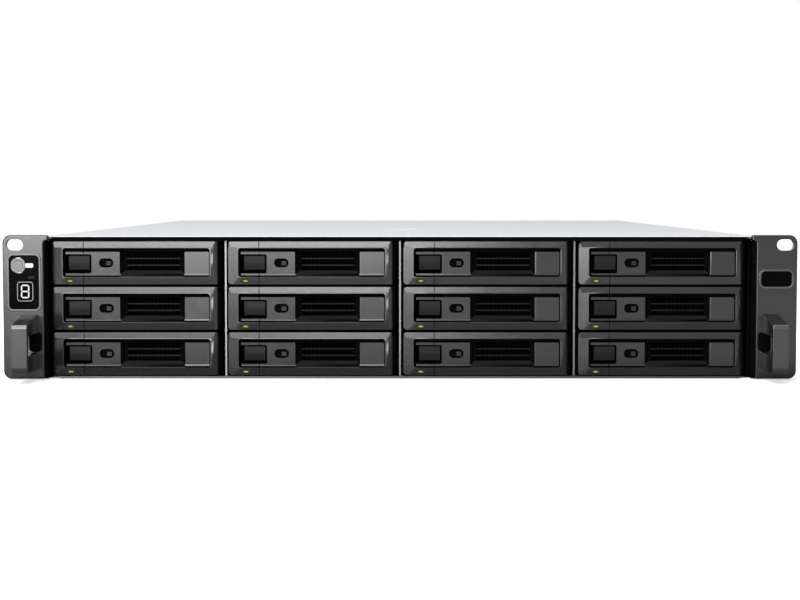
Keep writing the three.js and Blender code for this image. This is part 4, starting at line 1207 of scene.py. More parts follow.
@dataclass
class TrayFronts:
    """The fronts of the drive trays: fixed end, lever, button, lock slider and lamp."""

    width: float = 102.7
    height: float = 26.4
    corner: float = 2.0
    trim: float = 0.3
    frame_left: float = 6.2
    frame_right: float = 7.0
    frame_top: float = 3.9
    frame_bottom: float = 4.8
    land: float = 0.5
    bevel_left: float = 1.6
    bevel_top: float = 1.05
    bevel_bottom: float = 1.0
    end_round: float = 5.0
    recess_depth: float = 3.6
    recess_corner: float = 1.6
    plate_depth: float = 1.8
    plate_fall: float = 0.16
    plate_high: float = 20.1
    plate_start: float = 7.7
    plate_end: float = 40.7
    pad: Span = (80.3, 95.1)
    chamfer: Point = (0.75, 0.2)
    lip: Span = (5.8, 6.7)
    lip_stand: float = 0.2
    split: float = 18.8
    split_gap: float = 0.4
    lever_depth: float = 8.0
    end_depth: float = 10.8
    grille: Span = (44.8, 77.1)
    scoop_depth: float = 5.2
    floor_high: float = 8.6
    opening: Span = (8.8, 20.0)
    bars: Pane = ((11.5, 12.15), (15.6, 16.25))
    button: Pane = ((9.7, 22.4), (9.2, 17.6))
    button_depth: Span = (1.8, 5.4)
    hollow: Pane = ((7.2, 23.5), (6.95, 18.6))
    stem: Pane = ((9.6, 14.6), (10.1, 15.1))
    stem_end: float = 13.2
    lock: Pane = ((28.0, 36.8), (10.6, 16.1))
    slider: Pane = ((32.4, 35.3), (11.5, 14.2))
    lamp: Pane = ((7.9, 13.3), (1.1, 3.6))
    lamp_core: Point = (1.35, 0.72)
    edge: float = 0.28
    hinge: Point = (99.3, 4.6)

    def blank(self, depth: float) -> Form:
        """The bezel before anything is sunk into it.

        Args:
            depth: How deep the bezel is.

        Returns:
            The blank.
        """
        front = Form.tile((0, depth), (0, self.width), (self.trim, self.height), self.corner)
        side = [(self.bevel_bottom, 0), (0, self.frame_bottom - self.land),
                (0, self.height - self.frame_top + self.land), (self.bevel_top, self.height),
                (depth, self.height), (depth, 0)]
        start = self.width - self.frame_right + self.land + 0.3
        right = [*bend((start, 0), (start + 3.0, 0.36), (self.width, self.end_round)), (self.width, depth)]
        under = [(0, self.bevel_left), (self.frame_left - self.land, 0), *right, (0, depth)]
        over = [(0, 1.0), (1.8, 0), *right, (0, depth)]
        step = self.height - self.frame_top + 0.3
        body = Form.drawn(under, Axis.Z, (-1, step))
        body = body.plus(Form.drawn(over, Axis.Z, (step - 0.01, self.height + 1)))
        return front.within(Form.drawn(side, Axis.X, (-1, self.width + 1)), body)

    def scoop(self) -> Form:
        """What is taken out for the grille's hollow, with curved ends and a sloping floor.

        Returns:
            What is taken out.
        """
        left, right = self.plate_end, self.pad[0]
        inner = self.scoop_depth
        above = [(left, -1), (left, self.plate_depth),
                 *bend((left + 0.6, self.plate_depth), (left + 1.4, inner), (self.grille[0], inner)),
                 *bend((self.grille[1], inner), (right - 0.9, inner), (right - 0.5, self.plate_depth)),
                 (right, self.plate_depth), (right, -1)]
        floor = [(-1, self.frame_bottom), (self.plate_depth, self.frame_bottom), (inner, self.floor_high),
                 (inner + 1, self.floor_high), (inner + 1, self.plate_high), (-1, self.plate_high)]
        hollow = Form.drawn(above, Axis.Z, (-1, self.height + 1))
        return hollow.within(Form.drawn(floor, Axis.X, (left, right)))

    def lips(self) -> list[Form]:
        """The ledges under the plate and the pad, which catch the light.

        Returns:
            The two ledges.
        """
        near = self.plate_depth - self.lip_stand
        low, high = self.lip
        side = [(self.plate_depth + 0.6, low), (near, low), (near, low + 0.2), (self.plate_depth, high),
                (self.plate_depth + 0.6, high)]
        spans = ((self.plate_start, self.plate_end + 1.6), (self.pad[0] - 1.4, self.pad[1]))
        return [Form.drawn(side, Axis.X, span) for span in spans]

    def bezel(self, depth: float) -> Form:
        """The whole bezel, before it is split into its fixed end and its lever.

        Args:
            depth: How deep it is.

        Returns:
            The bezel.
        """
        x = (self.frame_left, self.width - self.frame_right)
        z = (self.frame_bottom, self.height - self.frame_top)
        recess = Form.tile((-1, self.recess_depth), x, z, self.recess_corner)
        depths, heights = (self.plate_depth, self.recess_depth + 1), (self.lip[0], self.plate_high)
        front = [(depths[0] + self.plate_fall, heights[0]), (depths[0], heights[1]), (depths[1], heights[1]),
                 (depths[1], heights[0])]
        plate = Form.drawn(front, Axis.X, (self.plate_start, self.plate_end))
        pad = self.chamfered(*self.pad, depths).within(Form.tile(depths, self.pad, heights, 0.6))
        floor = [(1.5, 4.6), (1.5, 4.9), (self.scoop_depth, self.floor_high),
                 (self.scoop_depth + 1, self.floor_high), (self.scoop_depth + 1, 4.6)]
        ramp = Form.drawn(floor, Axis.X, (self.plate_end + 0.3, self.pad[0] - 0.3))
        body = self.blank(depth).minus(recess).plus(plate, pad, *self.lips())
        body = body.minus(self.scoop()).plus(ramp)
        wide, deep = self.chamfer
        rim = Form.drawn([(x[1] - 0.01, -1), (x[1] - 0.01, deep), (x[1] + wide, 0), (x[1] + wide, -1)],
                         Axis.Z, grown(z, -self.recess_corner))
        lock = Form.tile((-1, self.recess_depth), *self.lock, 2.5)
        hollow = Form.tile((-1, depth + 1), *self.hollow, 1.1)
        return body.minus(lock, hollow, rim)

    def chamfered(self, left: float, right: float, depths: Span) -> Form:
        """A block whose left edge has a shallow chamfer that catches the light.

        Args:
            left: Its left side.
            right: Its right side.
            depths: Its front and back.

        Returns:
            The block, as high as the bezel.
        """
        wide, deep = self.chamfer
        outline = [(left, depths[0] + deep), (left + wide, depths[0]), (right, depths[0]),
                   (right, depths[1]), (left, depths[1])]
        return Form.drawn(outline, Axis.Z, (0, self.height))

    def sunk(self, middle: Vector) -> bool:
        """Whether a face takes the black finish as painted shade: in the recess round the plates, or on the
        bezel's top or bottom.
        """
        outside = middle.z > self.height - 0.27 or middle.z < self.trim + 0.2
        return outside or (middle.y > self.plate_depth + 0.9 and not self.scooped(middle))

    def scooped(self, middle: Vector) -> bool:
        """Whether a face belongs to the grille's floor or to one of its bars, which take a darker finish as
        painted shade.

        Args:
            middle: The middle of the face.

        Returns:
            Whether it does.
        """
        inside = self.plate_end + 0.2 < middle.x < self.pad[0] - 0.2
        on_bar = any(low - 0.1 < middle.z < high + 0.1 for low, high in self.bars)
        on_floor = self.frame_bottom < middle.z < self.opening[0] - 0.05
        return middle.y > self.plate_depth and inside and (on_bar or on_floor)

    def lever(self) -> Form:
        """The swinging part of the bezel, with its grille and the rooms for its hinge.

        Returns:
            The lever.
        """
        swinging = Form.block((self.split + self.split_gap / 2, self.width + 1), (-1, self.lever_depth + 1),
                              (-1, self.height + 1))
        opening = Form.tile((self.scoop_depth - 1, self.lever_depth + 1), self.grille, self.opening, 0.5, 3)
        bars = [Form.block(grown(self.grille, 0.4), (self.scoop_depth + 0.3, self.scoop_depth + 1.6),
                           heights) for heights in self.bars]
        lever = self.bezel(self.lever_depth).within(swinging).minus(opening, *self.hinge_rooms()).plus(*bars)
        # Painted shade: the recess, top and bottom faces are black, and the grille's floor and bars darker
        return lever.eased(self.edge).painted(self.sunk, self.scooped)

    def hinge_rooms(self) -> list[Form]:
        """The rooms for the hinge's tabs and pins.

        Returns:
            The rooms.
        """
        reach = 1.85
        heights = ((0.65, 2.55), (self.height - 2.55, self.height - 0.65))
        x, y = (place - reach for place in self.hinge)
        tabs = [Form.block((x, self.width + 1), (y, 9), span) for span in heights]
        pins = [Form.rod(Axis.Z, self.hinge, 1.25, span, 16) for span in ((1.55, 4.35), (22.05, 24.85))]
        return [*tabs, *pins]

    def fixed_end(self) -> Form:
        """The end of the bezel that stays with the tray, with the pocket of its lamp.

        Returns:
            The fixed end.
        """
        fixed = Form.block((-1, self.split - self.split_gap / 2), (-1, self.end_depth),
                           (-1, self.height + 1))
        pocket = Form.tile((-1, 3.2), *self.lamp, 1.1, 6)
        # Painted shade: the recess and the top and bottom faces are black
        return self.bezel(self.end_depth).within(fixed).minus(pocket).eased(self.edge).painted(self.sunk)

    def button_form(self) -> Form:
        """The release button: a slightly crowned cap on a square stem.

        Returns:
            The button.
        """
        x, z = self.button
        near, far = self.button_depth
        crown = bend((near + 0.35, z[0]), (near - 0.3, (z[0] + z[1]) / 2), (near + 0.35, z[1]))
        cap = Form.drawn([*crown, (far, z[1]), (far, z[0])], Axis.X, x)
        stem = Form.block(self.stem[0], (far - 0.3, self.stem_end), self.stem[1])
        return cap.plus(stem).eased(0.3)

    def slider_form(self) -> Form:
        """The lock's slider: a ridge on a small plate in its slot, whose plate is black as painted shade.

        Returns:
            The slider.
        """
        x, z = self.slider
        back = self.recess_depth + 0.1
        plate = Form.tile((back - 0.5, back), grown(self.lock[0], -0.5), grown(self.lock[1], -0.5), 1.9)
        near = self.plate_depth + 0.15
        side = [(back - 0.4, z[0]), (near + 0.2, z[0] + 0.3), (near, z[0] + 0.5), (near + 0.55, z[0] + 1.6),
                (near + 0.35, z[0] + 1.8), (near + 0.9, z[0] + 2.9), (back - 0.4, z[1])]
        ridge = Form.drawn(side, Axis.X, x)
        return plate.plus(ridge).eased(0.12).painted(lambda middle: middle.y < back - 0.52)

    def lens(self) -> Form:
        """The lamp's lens, flush with the bottom bevel.

        Returns:
            The lens, with its lit core.
        """
        x, z = grown(self.lamp[0], -0.12), grown(self.lamp[1], -0.12)
        slope = self.bevel_bottom / (self.frame_bottom - self.land)

        def shell(sides: Span, heights: Span, corner: float, stand: float) -> Form:
            """A lens that follows the bevel and stands off it.

            Args:
                sides: Its sides.
                heights: Its heights.
                corner: The corners' radius.
                stand: How far it stands off.

            Returns:
                The lens.
            """
            front = [(self.bevel_bottom - slope * heights[0] - stand, heights[0]),
                     (self.bevel_bottom - slope * heights[1] - stand, heights[1]), (4, heights[1]),
                     (4, heights[0])]
            outline = Form.tile((-1, 2.9), sides, heights, corner, 6)
            return outline.within(Form.drawn(front, Axis.X, sides))

        core_x, core_z = grown(x, -self.lamp_core[0]), grown(z, -self.lamp_core[1])
        core = shell(core_x, core_z, 0.38, 0.2).eased(0.08, 2)
        lens = shell(x, z, 1.0, 0.05).eased(0.12, 2).beside(core)
        return lens.painted(lambda middle: middle.y < self.bevel_bottom - slope * middle.z - 0.12
                            and core_x[0] < middle.x < core_x[1])

    def trays(self) -> Iterator[tuple[str, str, Vector]]:
        """Each tray's number, its lever's name and where its front goes.

        Returns:
            Them, one tray after another.
        """
        for number in range(1, TRAYS + 1):
            shown = f"tray_lever_{number:02d}"
            low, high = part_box(shown)
            yield f"{number:02d}", shown, Vector((high.x - self.width * MM, low.y, low.z))

    def build(self) -> None:
        """Builds the forms once and places them on every tray."""
        end, lever, button = (form.smooth() for form in (self.fixed_end(), self.lever(), self.button_form()))
        slider, lens = self.slider_form().smooth(), self.lens().smooth()
        for number, shown, at in self.trays():
            tray, name = f"tray_{number}", f"tray_button_{number}"
            end.place(f"{tray}_fixed_end", tray, (TRAY_PLASTIC, PAINTED_SHADE_PLASTIC), at)
            lens.place(f"{tray}_lamp_lens", tray, (LAMP_RIM, GREEN_LAMP), at)
            lever.place(f"{shown}_shell", shown, (TRAY_PLASTIC, PAINTED_SHADE_PLASTIC, BUTTON_AND_SCOOP_SHADE_PLASTIC), at,
                        replaces=[shown])
            slider.place(f"{shown}_lock_slider", shown, (PAINTED_SHADE_PLASTIC, EDGE_PLASTIC), at,
                         slot="button_plastic")
            button.place(f"{name}_cap", name, BUTTON_AND_SCOOP_SHADE_PLASTIC, at, replaces=[name])


@dataclass
class Carriers:
    """What lies behind the fronts: the carrier's wall and rails, its hinge and the drive."""

    fasteners: Fasteners
    fronts: TrayFronts
    spread: float = 104.5
    wall: Span = (10.5, 12.0)
    rail: float = 1.1
    rail_height: float = 24.0
    rail_end: float = 162.5
    drive_width: float = 101.6
    drive: Pane = ((18.5, 165.5), (0.15, 26.25))
    clip: Pane = ((37.0, 147.0), (7.0, 16.0))
    rib_tops: Span = (27.4, 26.2)

    @property
    def middle(self) -> float:
        """The middle of a tray's width."""
        return self.fronts.width / 2

    def sides(self, width: float) -> Span:
        """The left and right side of a part in the middle of a tray."""
        return (self.middle - width / 2, self.middle + width / 2)

    def carrier(self, rib_top: float) -> Form:
        """The wall behind the lever with its rib, the rails with their clips, and the hinge's tabs and pins.

        Args:
            rib_top: The height of the rib on the wall, which closes the slit above the bezel.

        Returns:
            The carrier.
        """
        sides, drive, height = self.sides(self.spread), self.sides(self.drive_width), self.fronts.height
        vents = [Form.tile((9, 14), (x, x + 1.3), (8.5, 19.5), 0.6, 3)
                 for x in (45.6 + 2.56 * step for step in range(13))]
        wall = Form.block(sides, self.wall, (0, height - 0.3)).minus(
            *vents, Form.block((9.3, 14.9), (9, 14), (9.8, 15.4)))
        windows = [Form.drawn(rounded((start, start + 24), (3.5, 20.5), 2), Axis.X, (-9, 120))
                   for start in (20, 52, 84, 116)]
        depths = (self.wall[0], self.rail_end)
        rails = [Form.block(span, depths, (0, self.rail_height))
                 for span in ((sides[0], sides[0] + self.rail), (sides[1] - self.rail, sides[1]))]
        clips = [Form.block(span, *self.clip)
                 for span in ((sides[0] + 0.8, drive[0] - 0.02), (drive[1] + 0.02, sides[1] - 0.8))]
        hinge, round_end = self.fronts.hinge, 1.5
        tabs = [Form.rod(Axis.Z, hinge, round_end, span, 20).plus(
            Form.block((hinge[0] - round_end, hinge[0] + round_end), (hinge[1], self.wall[1]), span))
                for span in ((1.0, 2.2), (24.2, 25.4))]
        pins = [Form.rod(Axis.Z, hinge, 0.9, span, 16) for span in ((1.9, 4.0), (22.4, 24.5))]
        framed = rails[0].plus(rails[1]).minus(*windows)
        rib = Form.block(grown(sides, -3.4), self.wall, (height - 0.6, rib_top))
        return wall.plus(framed, rib, *tabs, *pins).eased(0.2, 1).beside(*clips)

    def drive_form(self) -> Form:
        """A bare drive: a cast body with a raised lid plate.

        Returns:
            The drive.
        """
        x = self.sides(self.drive_width)
        y, z = self.drive
        body = Form.drawn(rounded(x, y, 3), Axis.Z, (z[0] + 1.2, z[1] - 1.0))
        lid = Form.drawn(rounded(grown(x, -3), grown(y, -4), 6), Axis.Z, (z[1] - 1.2, z[1]))
        centre = (self.middle, y[0] + 50)
        hub = Form.rod(Axis.Z, centre, 14, (z[1] - 0.5, z[1] + 1), 40)
        ring = Form.rod(Axis.Z, centre, 22, (z[1] - 0.4, z[1] + 1), 40)
        hub = hub.within(Form.block((0, 110), (0, 200), (0, z[1] - 0.05)))
        return body.plus(lid).minus(ring).plus(hub).eased(0.4)

    def board(self) -> Form:
        """The drive's circuit board under its body."""
        y, z = self.drive
        return Form.block(self.sides(80), (y[1] - 90, y[1] - 2), (z[0], z[0] + 1.3)).eased(0.2, 1)

    def build(self) -> None:
        """Builds the forms once and places them on every tray."""
        y, z = self.drive
        # The drive's front end and the carrier's front wall are black as painted shade behind the grille
        drive = self.drive_form().painted(lambda face: face.y < y[0] + 1).smooth()
        high, low = (self.carrier(top).painted(lambda face: face.y < self.wall[1] + 0.1).smooth()
                     for top in self.rib_tops)
        board = self.board().smooth()
        heads = [(side, place, z[1] - 0.45) for side in self.sides(88)
                 for place in (y[0] + 9, y[0] + 72, y[1] - 9)]
        screw = self.fasteners.screw()
        for number, _, at in self.fronts.trays():
            tray = f"tray_{number}"
            carrier = low if int(number) <= TRAYS_IN_ROW else high
            carrier.place(f"{tray}_carrier", tray, (CARRIER_PLASTIC, PAINTED_SHADE_PLASTIC), at, replaces=[tray])
            drive.place(f"{tray}_drive", tray, (DRIVE_CAST, PAINTED_SHADE_PLASTIC), at)
            board.place(f"{tray}_drive_board", tray, BOARD_MASK, at)
            places = [(x + at.x / MM, depth + at.y / MM, height + at.z / MM) for x, depth, height in heads]
            self.fasteners.add(f"{tray}_drive_screws", tray, places, Facing.UP, screw)


# Ears


@dataclass
class Ears:
    """The rack ears with their cheeks, brackets, pull handles and releases."""

    fasteners: Fasteners
    inner: float = 216.1
    tab: Point = (213.3, 84.6)
    tab_corner: float = 1.8
    outer: float = 241.0
    heights: Span = (0.5, 88.0)
    face: float = -330.0
    thickness: float = 5.0
    corner: float = 5.0
    slot: Pane = ((228.4, 238.8), (78.6, 85.4))
    window: Pane = ((218.9, 236.9), (43.0, 75.6))
    name_plate: Pane = ((218.9, 237.5), (56.7, 66.0))
    pane_corner: float = 2.6
    ring_width: float = 1.3
    ring_rise: float = 0.7
    power: Point = (231.4, 69.6)
    power_radius: float = 4.5
    cheek: Span = (214.05, 215.95)
    cheek_heights: Span = (0.6, 84.5)
    cheek_back: float = -317.3
    bracket: Span = (215.55, 217.05)
    bracket_holes: tuple[Point, Point] = ((-296.0, 30.0), (-296.0, 54.0))
    release: Pane = ((218.4, 224.6), (17.5, 28.3))
    handle: Span = (219.9, 229.4)
    handle_low: float = 6.5
    handle_top: float = 40.0
    handle_front: float = -362.0
    nose: Point = (35.6, 33.3)
    nose_depth: float = 1.0
    chin: float = 10.4
    fingers: Span = (16.7, 28.4)

    def plate(self, pane: Pane, window: bool) -> Form:
        """An ear's plate with its rack slot, the seat of its pane and the door of its release.

        Args:
            pane: The sides and heights of the window or name plate.
            window: Whether it is the ear with the window and its power button.

        Returns:
            The plate, on the right-hand side.
        """
        low, high = self.heights
        corner = (self.inner - self.tab_corner, self.tab[1] - self.tab_corner)
        side = self.outer - self.corner
        outline = [(self.tab[0], high), self.tab, *arc(corner, self.tab_corner, 90, 0, 6), (self.inner, low),
                   *arc((side, low + self.corner), self.corner, -90, 0, 8),
                   *arc((side, high - self.corner), self.corner, 0, 90, 8)]
        back = self.face + self.thickness
        body = Form.drawn(outline, Axis.Y, (self.face, back)).eased(0.9, 4)
        slot = Form.tile((self.face - 1, back + 1), *self.slot, 3.3, 10)
        door = Form.tile((self.face - 1, back + 1), grown(self.release[0], 0.4), grown(self.release[1], 0.4),
                         2.4)
        seat = Form.tile((self.face - 1, self.face + 1.4), *pane, self.pane_corner)
        cuts = [slot, door, seat]
        if window:
            cuts.append(Form.rod(Axis.Y, self.power, self.power_radius + 0.3, (self.face - 1, back + 1)))
        sides, heights = (grown(span, 0.7) for span in self.release)
        plate = body.minus(*cuts).eased(0.22, 2, 40)
        # The walls of the release's door are black as painted shade
        return plate.painted(lambda face: face.y > self.face + 0.01 and sides[0] < face.x < sides[1]
                             and heights[0] < face.z < heights[1])

    def ring(self, pane: Pane) -> Form:
        """The raised ring round a pane.

        Args:
            pane: The pane's sides and heights.

        Returns:
            The ring.
        """
        depths = (self.face - self.ring_rise, self.face + 1.2)
        sides, heights = (grown(span, self.ring_width) for span in pane)
        outer = Form.tile(depths, sides, heights, self.pane_corner + self.ring_width, 8)
        return outer.minus(Form.tile(grown(depths, 1), *pane, self.pane_corner, 8)).eased(0.3)

    def cheek_form(self) -> Form:
        """The strip between an ear and the bays, black as painted shade, with a black block in the shaded
        corner under the cover.

        Returns:
            The strip.
        """
        near, far = self.face + 0.8, self.cheek_back
        left, right = self.cheek
        outline = [(left - 1.2, far), (left - 1.2, far - 0.8), (left, far - 0.8), (left, near + 2.4),
                   (left + 1.6, near), (right, near), (right, far)]
        corner = Form.block((left - 2.4, left + 0.2), (far - 5.2, far - 0.3), (84.3, 85.9))
        return Form.drawn(outline, Axis.Z, self.cheek_heights).eased(0.2).beside(corner)

    def bracket_form(self) -> Form:
        """The steel sheet behind an ear, which is screwed to the case.

        Returns:
            The sheet.
        """
        outline = rounded((-325.2, -285.0), (8.0, 76.0), 3.0)
        holes = [Form.rod(Axis.X, place, 2.2, grown(self.bracket, 1.5), 24) for place in self.bracket_holes]
        return Form.drawn(outline, Axis.X, self.bracket).minus(*holes).eased(0.2, 1)

    def handle_form(self) -> Form:
        """A pull handle: two legs and a bar across their front ends.

        Returns:
            The handle.
        """
        foot, front = self.face - 0.3, self.handle_front
        low, top = self.handle_low, self.handle_top
        outline = [(foot, low), (foot, top), (front + self.nose_depth, self.nose[0]), (front, self.nose[1]),
                   (front, self.chin), (front + 2.8, low)]
        gap = Form.drawn(rounded((front + 3.4, self.face + 20), self.fingers, 2.4), Axis.X,
                         grown(self.handle, 1))
        grip = Form.drawn(outline, Axis.X, self.handle).minus(gap).eased(0.55, 3, 40)
        top, low = self.nose
        # The nose takes the lighter plastic as a painted highlight
        return grip.painted(lambda face: face.y < front + self.nose_depth + 0.2 and low < face.z < top + 0.3)

    def release_form(self) -> Form:
        """The push release, with three ridges for the finger.

        Returns:
            The release.
        """
        near = self.face + 0.6
        sides, heights = self.release
        body = Form.tile((near + 0.3, near + 14), sides, heights, 2.0)
        ridge = Form.tile((near, near + 0.6), grown(sides, -1.0), (-0.5, 0.5), 0.45, 4)
        flange = Form.block(grown(sides, 0.9), (near + 5.0, near + 6.5), grown(heights, 0.9))
        middle = sum(heights) / 2
        ridges = [ridge.moved(z=middle + step) for step in (-2.4, 0.0, 2.4)]
        return body.plus(*ridges, flange).eased(0.15)

    def build(self) -> None:
        """Builds both ears, the left as the right one's mirror image."""
        handle, release = self.handle_form(), self.release_form()
        for side, pane in (("left", self.window), ("right", self.name_plate)):
            left = side == "left"
            ear = f"{side}_ear"
            self.plate(pane, left).mirrored(left).place(f"{ear}_plate", "root",
                                                        (EAR_PLASTIC, PAINTED_SHADE_PLASTIC), replaces=[ear])
            # The ring's lighter plastic is a painted highlight
            self.ring(pane).mirrored(left).place(f"{ear}_ring", "root", PAINTED_HIGHLIGHT_PLASTIC)
            # The cheek is black as painted shade
            self.cheek_form().mirrored(left).place(f"{ear}_cheek", "root", PAINTED_SHADE_PLASTIC)
            self.bracket_form().mirrored(left).place(f"{ear}_bracket", "root", STEEL)
            handle.mirrored(left).place(f"{side}_handle_grip", "root", (HANDLE_CAST, PAINTED_HIGHLIGHT_PLASTIC),
                                        replaces=[f"{side}_handle"])
            # The release is black as painted shade in its hollow
            release.mirrored(left).place(f"{side}_release_push", f"{side}_release", PAINTED_SHADE_PLASTIC,
                                         replaces=[f"{side}_release"])
            way = -1 if left else 1
            heads = [(way * (self.bracket[1] + 0.3), *place) for place in self.bracket_holes]
            self.fasteners.add(f"{ear}_screws", "root", heads, Facing.LEFT if left else Facing.RIGHT,
                               self.fasteners.screw())
        insert = Form.tile((self.face + 0.15, self.face + 1.0),
                           *(grown(span, -0.15) for span in self.name_plate), 2.45, 8)
        insert.eased(0.2).place("right_ear_blank_plate", "root", GLOSS_BLACK)


@dataclass
class DisplayPanel:
    """The pane on the left ear with its power button, lamp and digit."""

    ears: Ears
    digit: Pane = ((-229.9, -224.8), (49.7, 57.9))
    digit_frame: Pane = ((-232.2, -222.5), (47.8, 59.7))
    stroke: float = 0.78
    frame_stroke: float = 0.42
    tab: Pane = ((-227.3, -222.3), (68.2, 70.9))
    lamp: Pane = ((-225.6, -221.4), (61.6, 63.2))
    print_depth: float = 0.05

    def print_depths(self) -> Span:
        """Where print on the pane starts and ends."""
        return (self.ears.face + 0.1 - self.print_depth, self.ears.face + 0.12)

    def pane(self) -> Form:
        """The black pane with the hole of the power button.

        Returns:
            The pane.
        """
        sides, heights = (grown(span, -0.2) for span in self.ears.window)
        depths = (self.ears.face + 0.1, self.ears.face + 1.1)
        sheet = Form.tile(depths, (-sides[1], -sides[0]), heights, 2.4, 8)
        x, z = self.ears.power
        return sheet.minus(Form.rod(Axis.Y, (-x, z), self.ears.power_radius + 0.25,
                                    grown(depths, 1))).eased(0.12, 2)

    def cap(self) -> Form:
        """The power button's cap: a rounded square with a groove round its dished middle.

        Returns:
            The cap.
        """
        near = self.ears.face - 0.8
        half = 4.3
        body = Form.tile((near, near + 3), (-half, half), (-half, half), 3.4, 10).eased(0.45, 4)
        groove = Form.turned([(0, near + 0.55), (2.0, near + 0.5), (2.7, near + 0.28), (2.75, near + 0.7),
                              (3.15, near + 0.7), (3.2, near + 0.1), (3.3, near - 1), (0, near - 1)], 64)
        x, z = self.ears.power
        return body.minus(groove).moved(-x, 0, z)

    def symbol(self) -> Form:
        """The mark for power on the cap: a broken ring and a bar.

        Returns:
            The mark.
        """
        x, z = self.ears.power
        depths = (self.ears.face - 0.36, self.ears.face - 0.2)
        ring = [*arc((-x, z), 1.6, 125, 415, 20), *arc((-x, z), 1.25, 415, 125, 20)]
        bar = Form.block((-x - 0.17, -x + 0.17), depths, (z + 0.5, z + 1.8))
        return Form.drawn(ring, Axis.Y, depths).beside(bar)

    def segments(self) -> Form:
        """The seven strokes of the digit.

        Returns:
            The strokes.
        """
        sides, heights = self.digit
        half, gap = self.stroke / 2, 0.16
        depths = self.print_depths()
        left, right = sides[0] + half, sides[1] - half
        low, high = heights[0] + half, heights[1] - half
        middle = (low + high) / 2

        def stroke(start: Point, end: Point) -> Form:
            """One stroke with pointed ends.

            Args:
                start: One end.
                end: The other end.

            Returns:
                The stroke.
            """
            along = Vector(end) - Vector(start)
            way = along.normalized()
            side = Vector((-way.y, way.x)) * half
            first, last = Vector(start) + way * gap, Vector(end) - way * gap
            corners = [first, first + way * half + side, last - way * half + side, last,
                       last - way * half - side, first + way * half - side]
            return Form.drawn([tuple(corner) for corner in corners], Axis.Y, depths)

        lines = [((left, low), (right, low)), ((left, middle), (right, middle)),
                 ((left, high), (right, high))]
        for x in (left, right):
            lines += [((x, low), (x, middle)), ((x, middle), (x, high))]
        strokes = [stroke(*line) for line in lines]
        return strokes[0].beside(*strokes[1:])

    def outline(self) -> Form:
        """The rounded line round the digit.

        Returns:
            The line.
        """
        depths = self.print_depths()
        inner = tuple(grown(span, -self.frame_stroke) for span in self.digit_frame)
        outer = Form.tile(depths, *self.digit_frame, 1.9, 8)
        return outer.minus(Form.tile(grown(depths, 1), *inner, 1.4, 8))

    def build(self) -> None:
        """Builds the panel's pieces."""
        self.pane().place("display_pane", "root", GLOSS_BLACK, replaces=["display_window"])
        self.cap().place("power_button_cap", "power_button", SILVER_BUTTON, replaces=["power_button"])
        self.symbol().place("power_button_symbol", "power_button", PINK_PRINT)
        self.segments().place("display_digit", "root", WHITE_PRINT)
        self.outline().place("display_digit_frame", "root", GREY_PRINT)
        tab = Form.tile(self.print_depths(), *self.tab, 0.9)
        tab.place("display_tab", "root", WHITE_PRINT)
        lamp = Form.tile((self.ears.face, self.ears.face + 0.12), *self.lamp, 0.4).eased(0.03, 1)
        lamp.place("display_alert_lamp", "root", DARK_LAMP)


# Case and covers


@dataclass
class Covers:
    """The two top covers with their folded edges and screws."""

    fasteners: Fasteners
    half: float = 215.25
    heights: Span = (86.1, 87.3)
    edge: float = 0.55
    hem: float = 84.3
    front: Span = (-324.0, -130.15)
    rear: Span = (-129.85, 350.0)
    lip: Span = (212.55, 213.75)
    lip_low: float = 77.1
    front_columns: tuple[float, ...] = (-190, -64, 64, 190)

    def screw_hole(self, place: Point) -> Form:
        """The hollow of a screw's head."""
        return Form.rod(Axis.Z, place, 2.8, (86.7, 90), 24)

    def front_form(self) -> Form:
        """The front cover, a sheet with a pressed step along its rear edge.

        Returns:
            The cover.
        """
        sheet = Form.drawn(rounded((-self.half, self.half), self.front, 1.2, 3), Axis.Z, self.heights)
        holes = [self.screw_hole((x, self.front[1] - 12)) for x in self.front_columns]
        near, low = self.front[0], self.heights[0]
        rim = self.heights[1] - self.edge
        thinned = [(near - 1, low - 1), (near - 1, rim), (near, rim), (near + 3.5, low),
                   (near + 3.5, low - 1)]
        # The hem and the thinned front edge are black as painted shade under the cover's edge
        hem = Form.block((-211, 211), (near + 1.0, near + 2.0), (self.hem, low + 0.4))
        sheet = sheet.minus(*holes, Form.drawn(thinned, Axis.X, (-220, 220))).plus(hem).eased(0.2, 3)
        return sheet.painted(lambda face: face.y < near + 3.6 and face.z < rim)

    def rear_form(self) -> Form:
        """The rear cover with its inner lips, finger hollow and screw hollows.

        Returns:
            The cover.
        """
        low, high = self.heights
        sheet = Form.drawn(rounded((-self.half, self.half), self.rear, 1.2, 3), Axis.Z, self.heights)
        lips = [Form.block(span, (self.rear[0], 348.5), (self.lip_low, low + 0.3))
                for span in (self.lip, (-self.lip[1], -self.lip[0]))]
        finger = rounded((-16, 16), (self.rear[0] + 14, self.rear[0] + 30), 7.5, 8)
        hollow = Form.drawn(finger, Axis.Z, (high - 0.6, high + 1))
        holes = [self.screw_hole(place) for place in self.rear_screws()]
        return sheet.plus(*lips).minus(hollow, *holes).eased(0.3, 2)

    def rear_screws(self) -> list[Point]:
        """Where the rear cover's screws are."""
        back = [(x, self.rear[1] - 10) for x in (-190, 0, 190)]
        return back + [(x, y) for x in (-206, 206) for y in (-60, 110)]

    def build(self) -> None:
        """Builds the covers and their screws."""
        self.front_form().place("front_cover_sheet", "root", (COVER_PAINT, PAINTED_SHADE_PLASTIC),
                                replaces=["front_cover"])
        self.rear_form().place("rear_cover_sheet", "rear_cover", COVER_PAINT, replaces=["rear_cover"])
        screw = self.fasteners.screw()
        top = self.heights[1] - 0.1
        front = [(x, self.front[1] - 12, top) for x in self.front_columns]
        self.fasteners.add("front_cover_screws", "root", front, Facing.UP, screw, slot="cover_paint")
        rear = [(x, y, top) for x, y in self.rear_screws()]
        self.fasteners.add("rear_cover_screws", "rear_cover", rear, Facing.UP, screw, slot="cover_paint")


